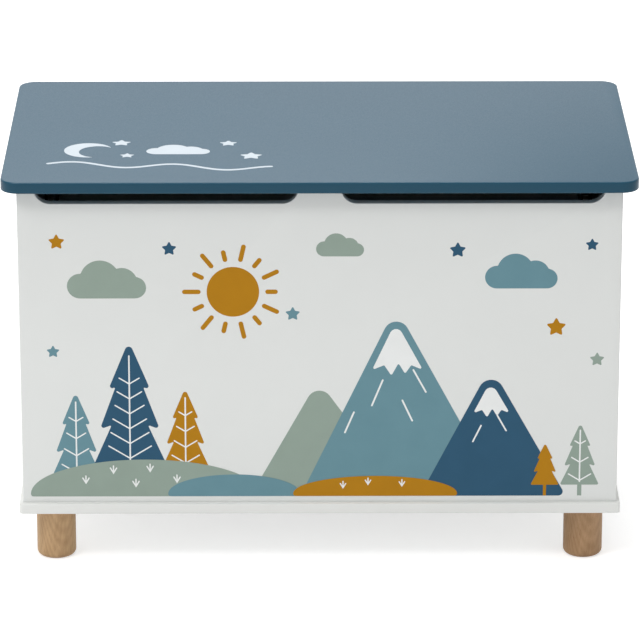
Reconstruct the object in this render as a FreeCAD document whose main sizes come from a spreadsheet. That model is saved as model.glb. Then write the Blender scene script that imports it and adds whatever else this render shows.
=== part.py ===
import FreeCAD, Part
import math
import os
import Sketcher

# Toy chest: a box of painted board on four turned wooden feet, with a hinged lid.
# Axes: +X to the right, -Y to the front, +Z up. The origin is at floor level under the
# middle of the lid. All lengths are in millimetres.

Vector = FreeCAD.Vector
Rotation = FreeCAD.Rotation

SIZES = {
    # Lid
    "lid_length": 700,
    "lid_depth": 400,
    "lid_thickness": 13,
    "lid_corner_radius": 20,
    "lid_top_rounding": 2.5,
    "lid_bottom_rounding": 1.5,
    "side_overhang": 17,
    "front_overhang": 18,
    # Whole height, floor to the lid's top
    "chest_height": 455,
    # Upright panels
    "panel_thickness": 12,
    "panel_rounding": 1.5,
    # Floor board
    "base_thickness": 12,
    "base_side_lip": 4,
    "base_front_lip": 6,
    "base_corner_radius": 4,
    "base_rounding": 0.8,
    # Finger notches in the front panel's top edge
    "notch_middle_land": 46.4,
    "notch_side_land": 18.8,
    "notch_depth": 15,
    "notch_corner_radius": 18,
    # Feet
    "foot_radius": 22,
    "foot_height": 62,
    "foot_inset": 39,
    "foot_rounding": 6,
    "foot_bolt_radius": 4,
    "foot_bolt_grip": 28,
    "tee_flange_radius": 10,
    "tee_flange_thickness": 1.5,
    "tee_barrel_radius": 5.2,
    # Clearances: moving pieces, fixed fasteners, pins that turn, the open pivot
    "moving_gap": 0.3,
    "fastener_gap": 0.05,
    "running_gap": 0.05,
    "open_pivot_gap": 0.3,
    "overrun": 2,
    # Butt hinges
    "hinge_inset": 81,
    "hinge_width": 60,
    "leaf_reach": 30,
    "leaf_thickness": 1.5,
    "leaf_corner_radius": 4,
    "barrel_radius": 2.7,
    "hinge_pin_radius": 1.3,
    "pin_cap_radius": 2.2,
    "pin_cap_length": 1,
    "hinge_screw_pitch": 20,
    "hinge_screw_depth": 19,
    # Lid stays: where their pivots lie from the hinge line
    "stay_reach": 120,
    "stay_drop": 15,
    "stay_back": 37,
    "stay_fall": 94,
    "stay_bar_radius": 7.5,
    "stay_bar_thickness": 3,
    "stay_washer_gap": 0.5,
    "stay_plate_thickness": 2,
    "stay_plate_radius": 12,
    "stay_plate_reach": 24,
    "drum_radius": 17,
    "drum_length": 12,
    "drum_rounding": 1.5,
    "spindle_radius": 3,
    "rivet_radius": 2.5,
    "rivet_head_radius": 4.2,
    "rivet_head_length": 1.4,
    "bracket_thickness": 2,
    "bracket_half_length": 22,
    "bracket_flange": 16,
    "bracket_screw_pitch": 14,
    # Small countersunk screws for hinges and stays
    "small_screw_radius": 1.5,
    "small_screw_length": 9,
    "small_head_radius": 2.9,
    "small_head_height": 1.3,
    # Long countersunk screws that hold the floor board
    "long_screw_radius": 2,
    "long_screw_length": 38,
    "long_head_radius": 4,
    "long_head_height": 2.4,
    "long_screw_inset": 133,
    "side_screw_inset": 66,
    # Dowels
    "dowel_radius": 3,
    "dowel_length": 28,
    "dowel_bite": 8,
    "dowel_inset": 32,
    # Cam bolts and cam locks
    "cam_bolt_radius": 2.5,
    "cam_bolt_bite": 8,
    "cam_head_radius": 3.4,
    "cam_head_length": 3,
    "cam_distance": 24,
    "cam_radius": 7.5,
    "cam_length": 9.3,
    "cam_inset": 75,
    # Rubber bumpers under the lid
    "bumper_radius": 4,
    "bumper_inset": 24,
}

doc = FreeCAD.newDocument("toy_chest")
sheet = doc.addObject("Spreadsheet::Sheet", "Sizes")
for row, (alias, value) in enumerate(SIZES.items(), 1):
    sheet.set(f"A{row}", alias)
    sheet.set(f"B{row}", str(value))
    sheet.setAlias(f"B{row}", alias)
doc.recompute()

# Places worked out from the sizes, as rules for the sheet
half_length = "(Sizes.lid_length / 2)"
lid_rear = "(Sizes.lid_depth / 2)"
lid_under = "(Sizes.chest_height - Sizes.lid_thickness)"
hinge_offset = "(Sizes.barrel_radius + Sizes.moving_gap)"
hinge_y = f"({lid_rear} - {hinge_offset})"
hinge_z = f"({lid_under} - {hinge_offset})"
body_side = f"({half_length} - Sizes.side_overhang)"
body_front = f"(Sizes.front_overhang - {lid_rear})"
body_rear = f"({hinge_y} - {hinge_offset})"
body_top = f"({lid_under} - Sizes.leaf_thickness - Sizes.moving_gap)"
inner_side = f"({body_side} - Sizes.panel_thickness)"
inner_front = f"({body_front} + Sizes.panel_thickness)"
inner_rear = f"({body_rear} - Sizes.panel_thickness)"
side_middle = f"({body_side} - Sizes.panel_thickness / 2)"
front_middle = f"({body_front} + Sizes.panel_thickness / 2)"
rear_middle = f"({body_rear} - Sizes.panel_thickness / 2)"
base_top = "(Sizes.foot_height + Sizes.base_thickness)"
base_side = f"({body_side} + Sizes.base_side_lip)"
base_front = f"({body_front} - Sizes.base_front_lip)"
panel_height = f"({body_top} - {base_top})"
foot_x = f"({base_side} - Sizes.foot_inset)"
foot_front_y = f"({base_front} + Sizes.foot_inset)"
foot_rear_y = f"({body_rear} - Sizes.foot_inset)"
pin_y = f"({hinge_y} - Sizes.stay_reach)"
pin_z = f"({hinge_z} - Sizes.stay_drop)"
spindle_y = f"({hinge_y} - Sizes.stay_back)"
spindle_z = f"({hinge_z} - Sizes.stay_fall)"
plate_inner = f"({inner_side} - Sizes.stay_plate_thickness)"
drum_inner = f"({plate_inner} - Sizes.drum_length)"
arm_outer = f"({drum_inner} - Sizes.stay_washer_gap)"
arm_inner = f"({arm_outer} - Sizes.stay_bar_thickness)"
link_outer = f"({arm_inner} - Sizes.stay_washer_gap)"
link_inner = f"({link_outer} - Sizes.stay_bar_thickness)"
tab_outer = f"({arm_inner} + Sizes.bracket_thickness)"

# Turns of a fastener that is drawn with its head up and its point down
HEAD_UP = Rotation()
HEAD_DOWN = Rotation(Vector(1, 0, 0), 180)
HEAD_REAR = Rotation(Vector(1, 0, 0), -90)
HEAD_LEFT = Rotation(Vector(0, 1, 0), -90)
HEAD_RIGHT = Rotation(Vector(0, 1, 0), 90)

nodes = []


def value_of(rule):
    """Return a rule's present value as a number."""
    return float(sheet.evalExpression(rule))


def place(thing, x, y, z):
    """Bind a piece's position to three rules."""
    thing.setExpression("Placement.Base.x", x)
    thing.setExpression("Placement.Base.y", y)
    thing.setExpression("Placement.Base.z", z)


def name_piece(thing, label):
    """Give a finished sub-part its label and list it for writing."""
    thing.Label = label
    nodes.append(thing)
    return thing


def block(name, corner, size):
    """Make a box from its low corner and its three lengths."""
    thing = doc.addObject("Part::Box", name)
    for side, rule in zip(("Length", "Width", "Height"), size):
        thing.setExpression(side, rule)
    place(thing, *corner)
    return thing


def rod(name, turn, start, radius, length):
    """Make a cylinder that runs from its start along its turned Z axis."""
    thing = doc.addObject("Part::Cylinder", name)
    thing.Placement = FreeCAD.Placement(Vector(), turn)
    thing.setExpression("Radius", radius)
    thing.setExpression("Height", length)
    place(thing, *start)
    return thing


def join(name, things):
    """Fuse pieces into one."""
    thing = doc.addObject("Part::MultiFuse", name)
    thing.Shapes = things
    return thing


def carve(name, base, tools):
    """Cut one tool after another out of a piece."""
    for number, tool in enumerate(tools, 1):
        thing = doc.addObject("Part::Cut", f"{name}_cut_{number}")
        thing.Base = base
        thing.Tool = tool
        base = thing
    return base


def mirrored(name, source):
    """Make the left-hand copy of a right-hand piece."""
    thing = doc.addObject("Part::Mirroring", name)
    thing.Source = source
    thing.Base = Vector(0, 0, 0)
    thing.Normal = Vector(1, 0, 0)
    return thing


def spread(name, original, places):
    """Repeat a piece at a list of places, each a position and a turn."""
    copies = []
    for number, (x, y, z, turn) in enumerate(places, 1):
        copy = doc.addObject("App::Link", f"{name}_{number}")
        copy.LinkedObject = original
        copy.LinkTransform = True
        copy.Placement = FreeCAD.Placement(Vector(), turn)
        place(copy, x, y, z)
        copies.append(copy)
    group = doc.addObject("Part::Compound", f"{name}_group")
    group.Links = copies
    return group


def outline(body, role, points, holes=()):
    """Draw a closed outline whose corners follow rules.

    Each point is (across, up) or (across, up, radius); a radius makes the edge that leaves
    the point an arc that bulges outward. The points run anticlockwise. A hole is
    (across, up, radius).
    """
    sketch = body.newObject("Sketcher::SketchObject", f"{body.Name}_outline")
    plane = [item for item in body.Origin.OriginFeatures if item.Role == role][0]
    sketch.AttachmentSupport = [(plane, "")]
    sketch.MapMode = "FlatFace"
    spots = [Vector(value_of(point[0]), value_of(point[1]), 0) for point in points]
    count = len(points)
    for index, point in enumerate(points):
        here = spots[index]
        there = spots[(index + 1) % count]
        if len(point) == 2:
            sketch.addGeometry(Part.LineSegment(here, there), False)
        else:
            radius = value_of(point[2])
            chord = there - here
            inward = Vector(-chord.y, chord.x, 0).normalize()
            height = math.sqrt(max(radius ** 2 - (chord.Length / 2) ** 2, 0))
            centre = (here + there) / 2 + inward * height
            first = math.atan2(here.y - centre.y, here.x - centre.x)
            last = math.atan2(there.y - centre.y, there.x - centre.x)
            circle = Part.Circle(centre, Vector(0, 0, 1), radius)
            sketch.addGeometry(Part.ArcOfCircle(circle, first, last), False)
    for index, point in enumerate(points):
        follower = (index + 1) % count
        sketch.addConstraint(Sketcher.Constraint("Coincident", index, 2, follower, 1))
    for index, point in enumerate(points):
        bind_point(sketch, index, 1, point, spots[index])
        if len(point) == 3:
            bind_radius(sketch, index, point[2])
    for number, hole in enumerate(holes):
        index = count + number
        centre = Vector(value_of(hole[0]), value_of(hole[1]), 0)
        circle = Part.Circle(centre, Vector(0, 0, 1), value_of(hole[2]))
        sketch.addGeometry(circle, False)
        bind_point(sketch, index, 3, hole, centre)
        bind_radius(sketch, index, hole[2])
    return sketch


def bind_point(sketch, index, which, rules, spot):
    """Bind one point of a sketch to its rules across and up from the origin."""
    for kind, rule, value in (("DistanceX", rules[0], spot.x), ("DistanceY", rules[1], spot.y)):
        number = sketch.addConstraint(Sketcher.Constraint(kind, -1, 1, index, which, value))
        sketch.setExpression(f"Constraints[{number}]", rule)


def bind_radius(sketch, index, rule):
    """Bind the radius of an arc or circle to its rule."""
    number = sketch.addConstraint(Sketcher.Constraint("Radius", index, value_of(rule)))
    sketch.setExpression(f"Constraints[{number}]", rule)


def padded(name, role, points, thickness, position, holes=()):
    """Make a body: an outline padded to a thickness and put in position."""
    body = doc.addObject("PartDesign::Body", name)
    sketch = outline(body, role, points, holes)
    pad = body.newObject("PartDesign::Pad", f"{name}_pad")
    pad.Profile = sketch
    pad.setExpression("Length", thickness)
    place(body, *position)
    return body


def round_edges(body, radius, wanted):
    """Fillet the edges that a test on their bounding boxes picks out."""
    doc.recompute()
    base = body.Tip
    whole = base.Shape.BoundBox
    names = []
    for number, edge in enumerate(base.Shape.Edges, 1):
        if wanted(edge.BoundBox, whole):
            names.append(f"Edge{number}")
    fillet = body.newObject("PartDesign::Fillet", f"{base.Name}_rounding")
    fillet.Base = (base, names)
    fillet.setExpression("Radius", radius)
    return fillet


def near(one, other):
    """Tell whether two coordinates are the same but for rounding."""
    return math.isclose(one, other, rel_tol=1e-6, abs_tol=1e-4)


def rectangle(left, right, low, high):
    """Return the corners of a rectangle, anticlockwise."""
    return [(left, low), (right, low), (right, high), (left, high)]


def rounded_rectangle(left, right, low, high, radius):
    """Return the outline of a rectangle with four round corners."""
    return [
        (f"{left} + {radius}", low),
        (f"{right} - {radius}", low, radius),
        (right, f"{low} + {radius}"),
        (right, f"{high} - {radius}", radius),
        (f"{right} - {radius}", high),
        (f"{left} + {radius}", high, radius),
        (left, f"{high} - {radius}"),
        (left, f"{low} + {radius}", radius),
    ]


def screw_kind(name, size):
    """Make a countersunk screw, head face at the origin, and the cutter for its hole."""
    radius = f"Sizes.{size}_screw_radius"
    length = f"Sizes.{size}_screw_length"
    head = f"Sizes.{size}_head_radius"
    height = f"Sizes.{size}_head_height"
    made = []
    for part, gap in (("", "0"), ("_hole", "Sizes.fastener_gap")):
        shank = rod(f"{name}{part}_shank", HEAD_UP, ("0", "0", f"-({length} + {gap})"),
                    f"{radius} + {gap}", f"{length} + {gap}")
        cone = doc.addObject("Part::Cone", f"{name}{part}_head")
        cone.setExpression("Radius1", f"{radius} + {gap}")
        cone.setExpression("Radius2", f"{head} + {gap}")
        cone.setExpression("Height", height)
        place(cone, "0", "0", f"-{height}")
        made.append(join(f"{name}{part}", [shank, cone]))
    return made


# Lid: one board with round corners and softened edges
lid_blank = padded("lid_blank", "XY_Plane",
                   rounded_rectangle(f"-{half_length}", half_length, f"-{lid_rear}", lid_rear,
                                     "Sizes.lid_corner_radius"),
                   "Sizes.lid_thickness", ("0", "0", lid_under))
round_edges(lid_blank, "Sizes.lid_top_rounding",
            lambda edge, whole: near(edge.ZMin, whole.ZMax))
round_edges(lid_blank, "Sizes.lid_bottom_rounding",
            lambda edge, whole: near(edge.ZMax, whole.ZMin))

# Front panel: covers the ends of the side panels and has the two finger notches
front_blank = padded("front_blank", "XZ_Plane",
                     rectangle(f"-{body_side}", body_side, "0", panel_height),
                     "Sizes.panel_thickness", ("0", inner_front, base_top))
round_edges(front_blank, "Sizes.panel_rounding",
            lambda edge, whole: near(edge.YMax, whole.YMin) and near(edge.ZLength, whole.ZLength))
notch_left = "(Sizes.notch_middle_land / 2)"
notch_right = f"({body_side} - Sizes.notch_side_land)"
notch_floor = f"({panel_height} - Sizes.notch_depth)"
notch_shoulder = f"({notch_floor} + Sizes.notch_corner_radius)"
notch_mouth = f"({notch_shoulder} + Sizes.notch_depth)"
notch_points = [
    (f"{notch_left} + Sizes.notch_corner_radius", notch_floor),
    (f"{notch_right} - Sizes.notch_corner_radius", notch_floor, "Sizes.notch_corner_radius"),
    (notch_right, notch_shoulder),
    (notch_right, notch_mouth),
    (notch_left, notch_mouth),
    (notch_left, notch_shoulder, "Sizes.notch_corner_radius"),
]
doc.recompute()
uncut_volume = front_blank.Tip.Shape.Volume
notch = front_blank.newObject("PartDesign::Pocket", "notch")
notch.Profile = outline(front_blank, "XZ_Plane", notch_points)
notch.Type = "ThroughAll"
notch.Midplane = True
notch_pair = front_blank.newObject("PartDesign::Mirrored", "notch_pair")
notch_pair.Originals = [notch]
notch_pair.MirrorPlane = (
    [item for item in front_blank.Origin.OriginFeatures if item.Role == "YZ_Plane"][0], [""])
front_blank.Tip = notch_pair
doc.recompute()
print("notches take", round(uncut_volume - front_blank.Tip.Shape.Volume), "cubic mm")

# Back panel: stands between the side panels
back_blank = padded("back_blank", "XZ_Plane",
                    rectangle(f"-{inner_side}", inner_side, "0", panel_height),
                    "Sizes.panel_thickness", ("0", body_rear, base_top))

# Side panels: run from the front panel to the rear face
side_blank = padded("side_blank", "YZ_Plane",
                    rectangle(inner_front, body_rear, "0", panel_height),
                    "Sizes.panel_thickness", (inner_side, "0", base_top))
round_edges(side_blank, "Sizes.panel_rounding",
            lambda edge, whole: near(edge.XMin, whole.XMax) and near(edge.YMin, whole.YMax))
left_side_blank = mirrored("left_side_blank", side_blank)

# Floor board: sticks out a little in front and at the sides
base_blank = padded("base_blank", "XY_Plane",
                    rounded_rectangle(f"-{base_side}", base_side, base_front, body_rear,
                                      "Sizes.base_corner_radius"),
                    "Sizes.base_thickness", ("0", "0", "Sizes.foot_height"))
round_edges(base_blank, "Sizes.base_rounding",
            lambda edge, whole: near(edge.ZMin, whole.ZMax) or near(edge.ZMax, whole.ZMin))

# Feet: turned, with a softened lower edge and a bolt hole in the top
foot_places = {
    "foot_front_left": (f"-{foot_x}", foot_front_y),
    "foot_front_right": (foot_x, foot_front_y),
    "foot_rear_left": (f"-{foot_x}", foot_rear_y),
    "foot_rear_right": (foot_x, foot_rear_y),
}
bolt_hole_radius = "(Sizes.foot_bolt_radius + Sizes.fastener_gap)"
bolt_hole_floor = "(Sizes.foot_height - Sizes.foot_bolt_grip - Sizes.fastener_gap)"
foot_points = [
    ("0", "0"),
    ("Sizes.foot_radius - Sizes.foot_rounding", "0", "Sizes.foot_rounding"),
    ("Sizes.foot_radius", "Sizes.foot_rounding"),
    ("Sizes.foot_radius", "Sizes.foot_height"),
    (bolt_hole_radius, "Sizes.foot_height"),
    (bolt_hole_radius, bolt_hole_floor),
    ("0", bolt_hole_floor),
]
for foot_name, (x, y) in foot_places.items():
    foot = doc.addObject("PartDesign::Body", foot_name)
    profile = outline(foot, "XZ_Plane", foot_points)
    turned = foot.newObject("PartDesign::Revolution", f"{foot_name}_turning")
    turned.Profile = profile
    turned.ReferenceAxis = (profile, ["V_Axis"])
    turned.Angle = 360
    place(foot, x, y, "0")
    name_piece(foot, foot_name)

# Foot bolts and the tee nuts let into the floor board from above
bolt_top = f"({base_top} - Sizes.tee_flange_thickness)"
foot_bolt = rod("foot_bolt", HEAD_UP, ("0", "0", "Sizes.foot_height - Sizes.foot_bolt_grip"),
                "Sizes.foot_bolt_radius",
                "Sizes.foot_bolt_grip + Sizes.base_thickness - Sizes.tee_flange_thickness")
tee_flange = rod("tee_flange", HEAD_UP, ("0", "0", bolt_top), "Sizes.tee_flange_radius",
                 "Sizes.tee_flange_thickness")
tee_barrel = rod("tee_barrel", HEAD_UP, ("0", "0", "Sizes.foot_height"),
                 "Sizes.tee_barrel_radius", "Sizes.base_thickness")
tee_bore = rod("tee_bore", HEAD_UP, ("0", "0", "Sizes.foot_height - Sizes.overrun"),
               bolt_hole_radius, "Sizes.base_thickness + 2 * Sizes.overrun")
tee_nut = carve("tee_nut", join("tee_solid", [tee_flange, tee_barrel]), [tee_bore])
tee_flange_seat = rod("tee_flange_seat", HEAD_UP,
                      ("0", "0", f"{bolt_top} - Sizes.fastener_gap"),
                      "Sizes.tee_flange_radius + Sizes.fastener_gap",
                      "Sizes.tee_flange_thickness + Sizes.overrun")
tee_barrel_seat = rod("tee_barrel_seat", HEAD_UP,
                      ("0", "0", "Sizes.foot_height - Sizes.overrun"),
                      "Sizes.tee_barrel_radius + Sizes.fastener_gap",
                      "Sizes.base_thickness + Sizes.overrun")
tee_seat = join("tee_seat", [tee_flange_seat, tee_barrel_seat])
foot_axes = [(x, y, "0", HEAD_UP) for x, y in foot_places.values()]
name_piece(spread("foot_bolts", foot_bolt, foot_axes), "foot_hanger_bolts")
name_piece(spread("tee_nuts", tee_nut, foot_axes), "foot_tee_nuts")
tee_seats = spread("tee_seats", tee_seat, foot_axes)

# Screws: the small ones for hinges and stays, the long ones up through the floor board
small_screw, small_hole = screw_kind("small_screw", "small")
long_screw, long_hole = screw_kind("long_screw", "long")
long_places = []
end_screw_x = f"({body_side} - Sizes.long_screw_inset)"
for across in (f"-{end_screw_x}", "0", end_screw_x):
    long_places.append((across, front_middle, "Sizes.foot_height", HEAD_DOWN))
    long_places.append((across, rear_middle, "Sizes.foot_height", HEAD_DOWN))
for x in (side_middle, f"-{side_middle}"):
    for y in (f"{inner_front} + Sizes.side_screw_inset", f"{inner_rear} - Sizes.side_screw_inset"):
        long_places.append((x, y, "Sizes.foot_height", HEAD_DOWN))
name_piece(spread("long_screws", long_screw, long_places), "floor_screws")
long_holes = spread("long_holes", long_hole, long_places)

# Dowels at the four upright corner joints, drawn from their start in the covering panel
low_dowel = f"({base_top} + Sizes.dowel_inset)"
high_dowel = f"({body_top} - Sizes.dowel_inset)"
dowel = rod("dowel", HEAD_UP, ("0", "0", "0"), "Sizes.dowel_radius", "Sizes.dowel_length")
dowel_hole = rod("dowel_hole", HEAD_UP, ("0", "0", "-Sizes.fastener_gap"),
                 "Sizes.dowel_radius + Sizes.fastener_gap",
                 "Sizes.dowel_length + 2 * Sizes.fastener_gap")
dowel_places = []
for z in (low_dowel, high_dowel):
    for x in (f"-{side_middle}", side_middle):
        dowel_places.append((x, f"{inner_front} - Sizes.dowel_bite", z, HEAD_REAR))
    dowel_places.append((f"{inner_side} + Sizes.dowel_bite", rear_middle, z, HEAD_LEFT))
    dowel_places.append((f"-({inner_side} + Sizes.dowel_bite)", rear_middle, z, HEAD_RIGHT))
name_piece(spread("dowels", dowel, dowel_places), "corner_dowels")
dowel_holes = spread("dowel_holes", dowel_hole, dowel_places)

# Cam bolts start in the covering panel and end in cam locks in the other panel
low_cam = f"({base_top} + Sizes.cam_inset)"
high_cam = f"({body_top} - Sizes.cam_inset)"
cam_reach = "(Sizes.cam_bolt_bite + Sizes.cam_distance)"
cam_shank = rod("cam_shank", HEAD_UP, ("0", "0", "0"), "Sizes.cam_bolt_radius", cam_reach)
cam_head = rod("cam_head", HEAD_UP, ("0", "0", f"{cam_reach} - Sizes.cam_head_length"),
               "Sizes.cam_head_radius", "Sizes.cam_head_length")
cam_bolt = join("cam_bolt", [cam_shank, cam_head])
cam_bite_hole = rod("cam_bite_hole", HEAD_UP, ("0", "0", "-Sizes.fastener_gap"),
                    "Sizes.cam_bolt_radius + Sizes.fastener_gap",
                    "Sizes.cam_bolt_bite + 2 * Sizes.fastener_gap")
cam_edge_hole = rod("cam_edge_hole", HEAD_UP, ("0", "0", "Sizes.cam_bolt_bite"),
                    "Sizes.cam_head_radius + Sizes.fastener_gap",
                    "Sizes.cam_distance + Sizes.fastener_gap")
cam_bolt_hole = join("cam_bolt_hole", [cam_bite_hole, cam_edge_hole])
cam_body = rod("cam_body", HEAD_UP, ("0", "0", "0"), "Sizes.cam_radius", "Sizes.cam_length")
cam_pocket = rod("cam_pocket", HEAD_UP, ("0", "0", "-Sizes.overrun"),
                 "Sizes.cam_radius + Sizes.fastener_gap",
                 "Sizes.cam_length + Sizes.overrun + Sizes.fastener_gap")
bolt_places = []
cam_places = []
for z in (low_cam, high_cam):
    for sign, turn in (("", HEAD_RIGHT), ("-", HEAD_LEFT)):
        bolt_places.append((f"{sign}{side_middle}", f"{inner_front} - Sizes.cam_bolt_bite",
                            z, HEAD_REAR))
        cam_places.append((f"{sign}{inner_side}", f"{inner_front} + Sizes.cam_distance", z, turn))
    for sign, turn in (("", HEAD_LEFT), ("-", HEAD_RIGHT)):
        bolt_places.append((f"{sign}({inner_side} + Sizes.cam_bolt_bite)", rear_middle, z, turn))
        cam_places.append((f"{sign}({inner_side} - Sizes.cam_distance)", inner_rear, z,
                           HEAD_REAR))
name_piece(spread("cam_bolts", cam_bolt, bolt_places), "cam_bolts")
cam_bolt_holes = spread("cam_bolt_holes", cam_bolt_hole, bolt_places)
cams = spread("cams", cam_body, cam_places)
cam_pockets = spread("cam_pockets", cam_pocket, cam_places)
name_piece(carve("cam_locks", cams, [cam_bolt_holes]), "cam_locks")

# Butt hinges: the right-hand one is drawn, the left-hand one is its mirror image
hinge_high = f"({inner_side} - Sizes.hinge_inset)"
hinge_low = f"({hinge_high} - Sizes.hinge_width)"
hinge_middle = f"({hinge_high} - Sizes.hinge_width / 2)"
knuckle = "(Sizes.hinge_width / 5)"
body_leaf_points = [
    (f"{hinge_low} + Sizes.leaf_corner_radius", "-Sizes.leaf_reach"),
    (f"{hinge_high} - Sizes.leaf_corner_radius", "-Sizes.leaf_reach", "Sizes.leaf_corner_radius"),
    (hinge_high, "Sizes.leaf_corner_radius - Sizes.leaf_reach"),
    (hinge_high, "0"),
    (hinge_low, "0"),
    (hinge_low, "Sizes.leaf_corner_radius - Sizes.leaf_reach", "Sizes.leaf_corner_radius"),
]
body_plate = padded("body_plate", "XZ_Plane", body_leaf_points, "Sizes.leaf_thickness",
                    ("0", f"{body_rear} + Sizes.leaf_thickness", hinge_z))
lid_plate = padded("lid_plate", "XY_Plane", body_leaf_points, "Sizes.leaf_thickness",
                   ("0", hinge_y, f"{lid_under} - Sizes.leaf_thickness"))
barrel = rod("barrel", HEAD_RIGHT, (hinge_low, hinge_y, hinge_z), "Sizes.barrel_radius",
             "Sizes.hinge_width")
bore = rod("bore", HEAD_RIGHT, (f"{hinge_low} - Sizes.overrun", hinge_y, hinge_z),
           "Sizes.hinge_pin_radius + Sizes.running_gap", "Sizes.hinge_width + 2 * Sizes.overrun")


def knuckle_gap(name, first):
    """Make the cutter that frees one leaf's barrel for the other leaf's knuckle."""
    reach = f"(2 * {hinge_offset} + Sizes.overrun)"
    corner = (f"{hinge_low} + {first} * {knuckle} - Sizes.moving_gap / 2",
              f"{hinge_y} - {hinge_offset}", f"{hinge_z} - {hinge_offset}")
    return block(name, corner, (f"{knuckle} + Sizes.moving_gap", reach, reach))


def knuckle_gaps(name, numbers):
    """Group one leaf's knuckle cutters."""
    group = doc.addObject("Part::Compound", name)
    group.Links = [knuckle_gap(f"{name}_{number}", number) for number in numbers]
    return group


lid_knuckle_gaps = knuckle_gaps("lid_knuckle_gaps", (1, 3))
body_knuckle_gaps = knuckle_gaps("body_knuckle_gaps", (0, 2, 4))
pin_shank = rod("pin_shank", HEAD_RIGHT, (hinge_low, hinge_y, hinge_z), "Sizes.hinge_pin_radius",
                "Sizes.hinge_width")
pin_caps = [
    rod("pin_cap_low", HEAD_RIGHT, (f"{hinge_low} - Sizes.pin_cap_length", hinge_y, hinge_z),
        "Sizes.pin_cap_radius", "Sizes.pin_cap_length"),
    rod("pin_cap_high", HEAD_RIGHT, (hinge_high, hinge_y, hinge_z), "Sizes.pin_cap_radius",
        "Sizes.pin_cap_length"),
]
hinge_pin = join("hinge_pin", [pin_shank] + pin_caps)
body_screw_places = []
lid_screw_places = []
for centre in (f"-{hinge_middle}", hinge_middle):
    for away in ("- Sizes.hinge_screw_pitch", "", "+ Sizes.hinge_screw_pitch"):
        body_screw_places.append((f"{centre} {away}", f"{body_rear} + Sizes.leaf_thickness",
                                  f"{hinge_z} - Sizes.hinge_screw_depth", HEAD_REAR))
        lid_screw_places.append((f"{centre} {away}", f"{hinge_y} - Sizes.hinge_screw_depth",
                                 f"{lid_under} - Sizes.leaf_thickness", HEAD_DOWN))
name_piece(spread("hinge_body_screws", small_screw, body_screw_places), "hinge_body_screws")
name_piece(spread("hinge_lid_screws", small_screw, lid_screw_places), "hinge_lid_screws")
hinge_body_holes = spread("hinge_body_holes", small_hole, body_screw_places)
hinge_lid_holes = spread("hinge_lid_holes", small_hole, lid_screw_places)
body_leaf = carve("body_leaf", join("body_leaf_solid", [body_plate, barrel]),
                  [bore, lid_knuckle_gaps, hinge_body_holes])
lid_leaf = carve("lid_leaf", join("lid_leaf_solid", [lid_plate, barrel]),
                 [bore, body_knuckle_gaps, hinge_lid_holes])
for part, source in (("hinge_body_leaf", body_leaf), ("hinge_lid_leaf", lid_leaf),
                     ("hinge_pin", hinge_pin)):
    name_piece(mirrored(f"{part}_mirrored", source), f"{part}_left")
    name_piece(source, f"{part}_right")

# Lid stays: a friction drum on the side panel turns an arm that stays parallel to the line
# from the hinge to the lid's bracket pin, and a link joins the arm's end to that pin
stay_plate = padded("stay_plate", "YZ_Plane",
                    [("Sizes.stay_plate_radius", "-Sizes.stay_plate_reach"),
                     ("Sizes.stay_plate_radius", "Sizes.stay_plate_reach",
                      "Sizes.stay_plate_radius"),
                     ("0", "Sizes.stay_plate_reach + Sizes.stay_plate_radius",
                      "Sizes.stay_plate_radius"),
                     ("-Sizes.stay_plate_radius", "Sizes.stay_plate_reach"),
                     ("-Sizes.stay_plate_radius", "-Sizes.stay_plate_reach",
                      "Sizes.stay_plate_radius"),
                     ("0", "-Sizes.stay_plate_reach - Sizes.stay_plate_radius",
                      "Sizes.stay_plate_radius")],
                    "Sizes.stay_plate_thickness", (plate_inner, spindle_y, spindle_z))
drum_blank = doc.addObject("PartDesign::Body", "drum_blank")
drum_profile = outline(drum_blank, "XZ_Plane", [
    ("Sizes.drum_rounding", "0"),
    ("Sizes.drum_length", "0"),
    ("Sizes.drum_length", "Sizes.drum_radius"),
    ("Sizes.drum_rounding", "Sizes.drum_radius", "Sizes.drum_rounding"),
    ("0", "Sizes.drum_radius - Sizes.drum_rounding"),
    ("0", "0"),
])
drum_turning = drum_blank.newObject("PartDesign::Revolution", "drum_turning")
drum_turning.Profile = drum_profile
drum_turning.ReferenceAxis = (drum_profile, ["H_Axis"])
drum_turning.Angle = 360
place(drum_blank, drum_inner, spindle_y, spindle_z)
spindle_head_outer = f"({arm_inner} - Sizes.moving_gap)"
spindle_end = f"({spindle_head_outer} - Sizes.rivet_head_length)"
spindle_shank = rod("spindle_shank", HEAD_RIGHT, (spindle_end, spindle_y, spindle_z),
                    "Sizes.spindle_radius", f"{inner_side} - {spindle_end}")
spindle_head = rod("spindle_head", HEAD_RIGHT, (spindle_end, spindle_y, spindle_z),
                   "Sizes.spindle_radius + Sizes.rivet_head_length", "Sizes.rivet_head_length")
spindle = join("spindle", [spindle_shank, spindle_head])
spindle_bore = rod("spindle_bore", HEAD_RIGHT,
                   (f"{drum_inner} - Sizes.overrun", spindle_y, spindle_z),
                   "Sizes.spindle_radius + Sizes.fastener_gap",
                   "Sizes.drum_length + Sizes.stay_plate_thickness + 2 * Sizes.overrun")
stay_screw_places = []
for sign, turn in (("", HEAD_LEFT), ("-", HEAD_RIGHT)):
    for away in ("-", "+"):
        stay_screw_places.append((f"{sign}{plate_inner}", spindle_y,
                                  f"{spindle_z} {away} Sizes.stay_plate_reach", turn))
name_piece(spread("stay_plate_screws", small_screw, stay_screw_places), "stay_plate_screws")
stay_plate_holes = spread("stay_plate_holes", small_hole, stay_screw_places)
stay_plate_drilled = carve("stay_plate_drilled", stay_plate, [spindle_bore, stay_plate_holes])
stay_drum = carve("stay_drum", drum_blank, [spindle_bore])

arm_length = "sqrt(Sizes.stay_reach ^ 2 + Sizes.stay_drop ^ 2)"
link_length = "sqrt(Sizes.stay_back ^ 2 + Sizes.stay_fall ^ 2)"
bar_radius = "Sizes.stay_bar_radius"


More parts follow.
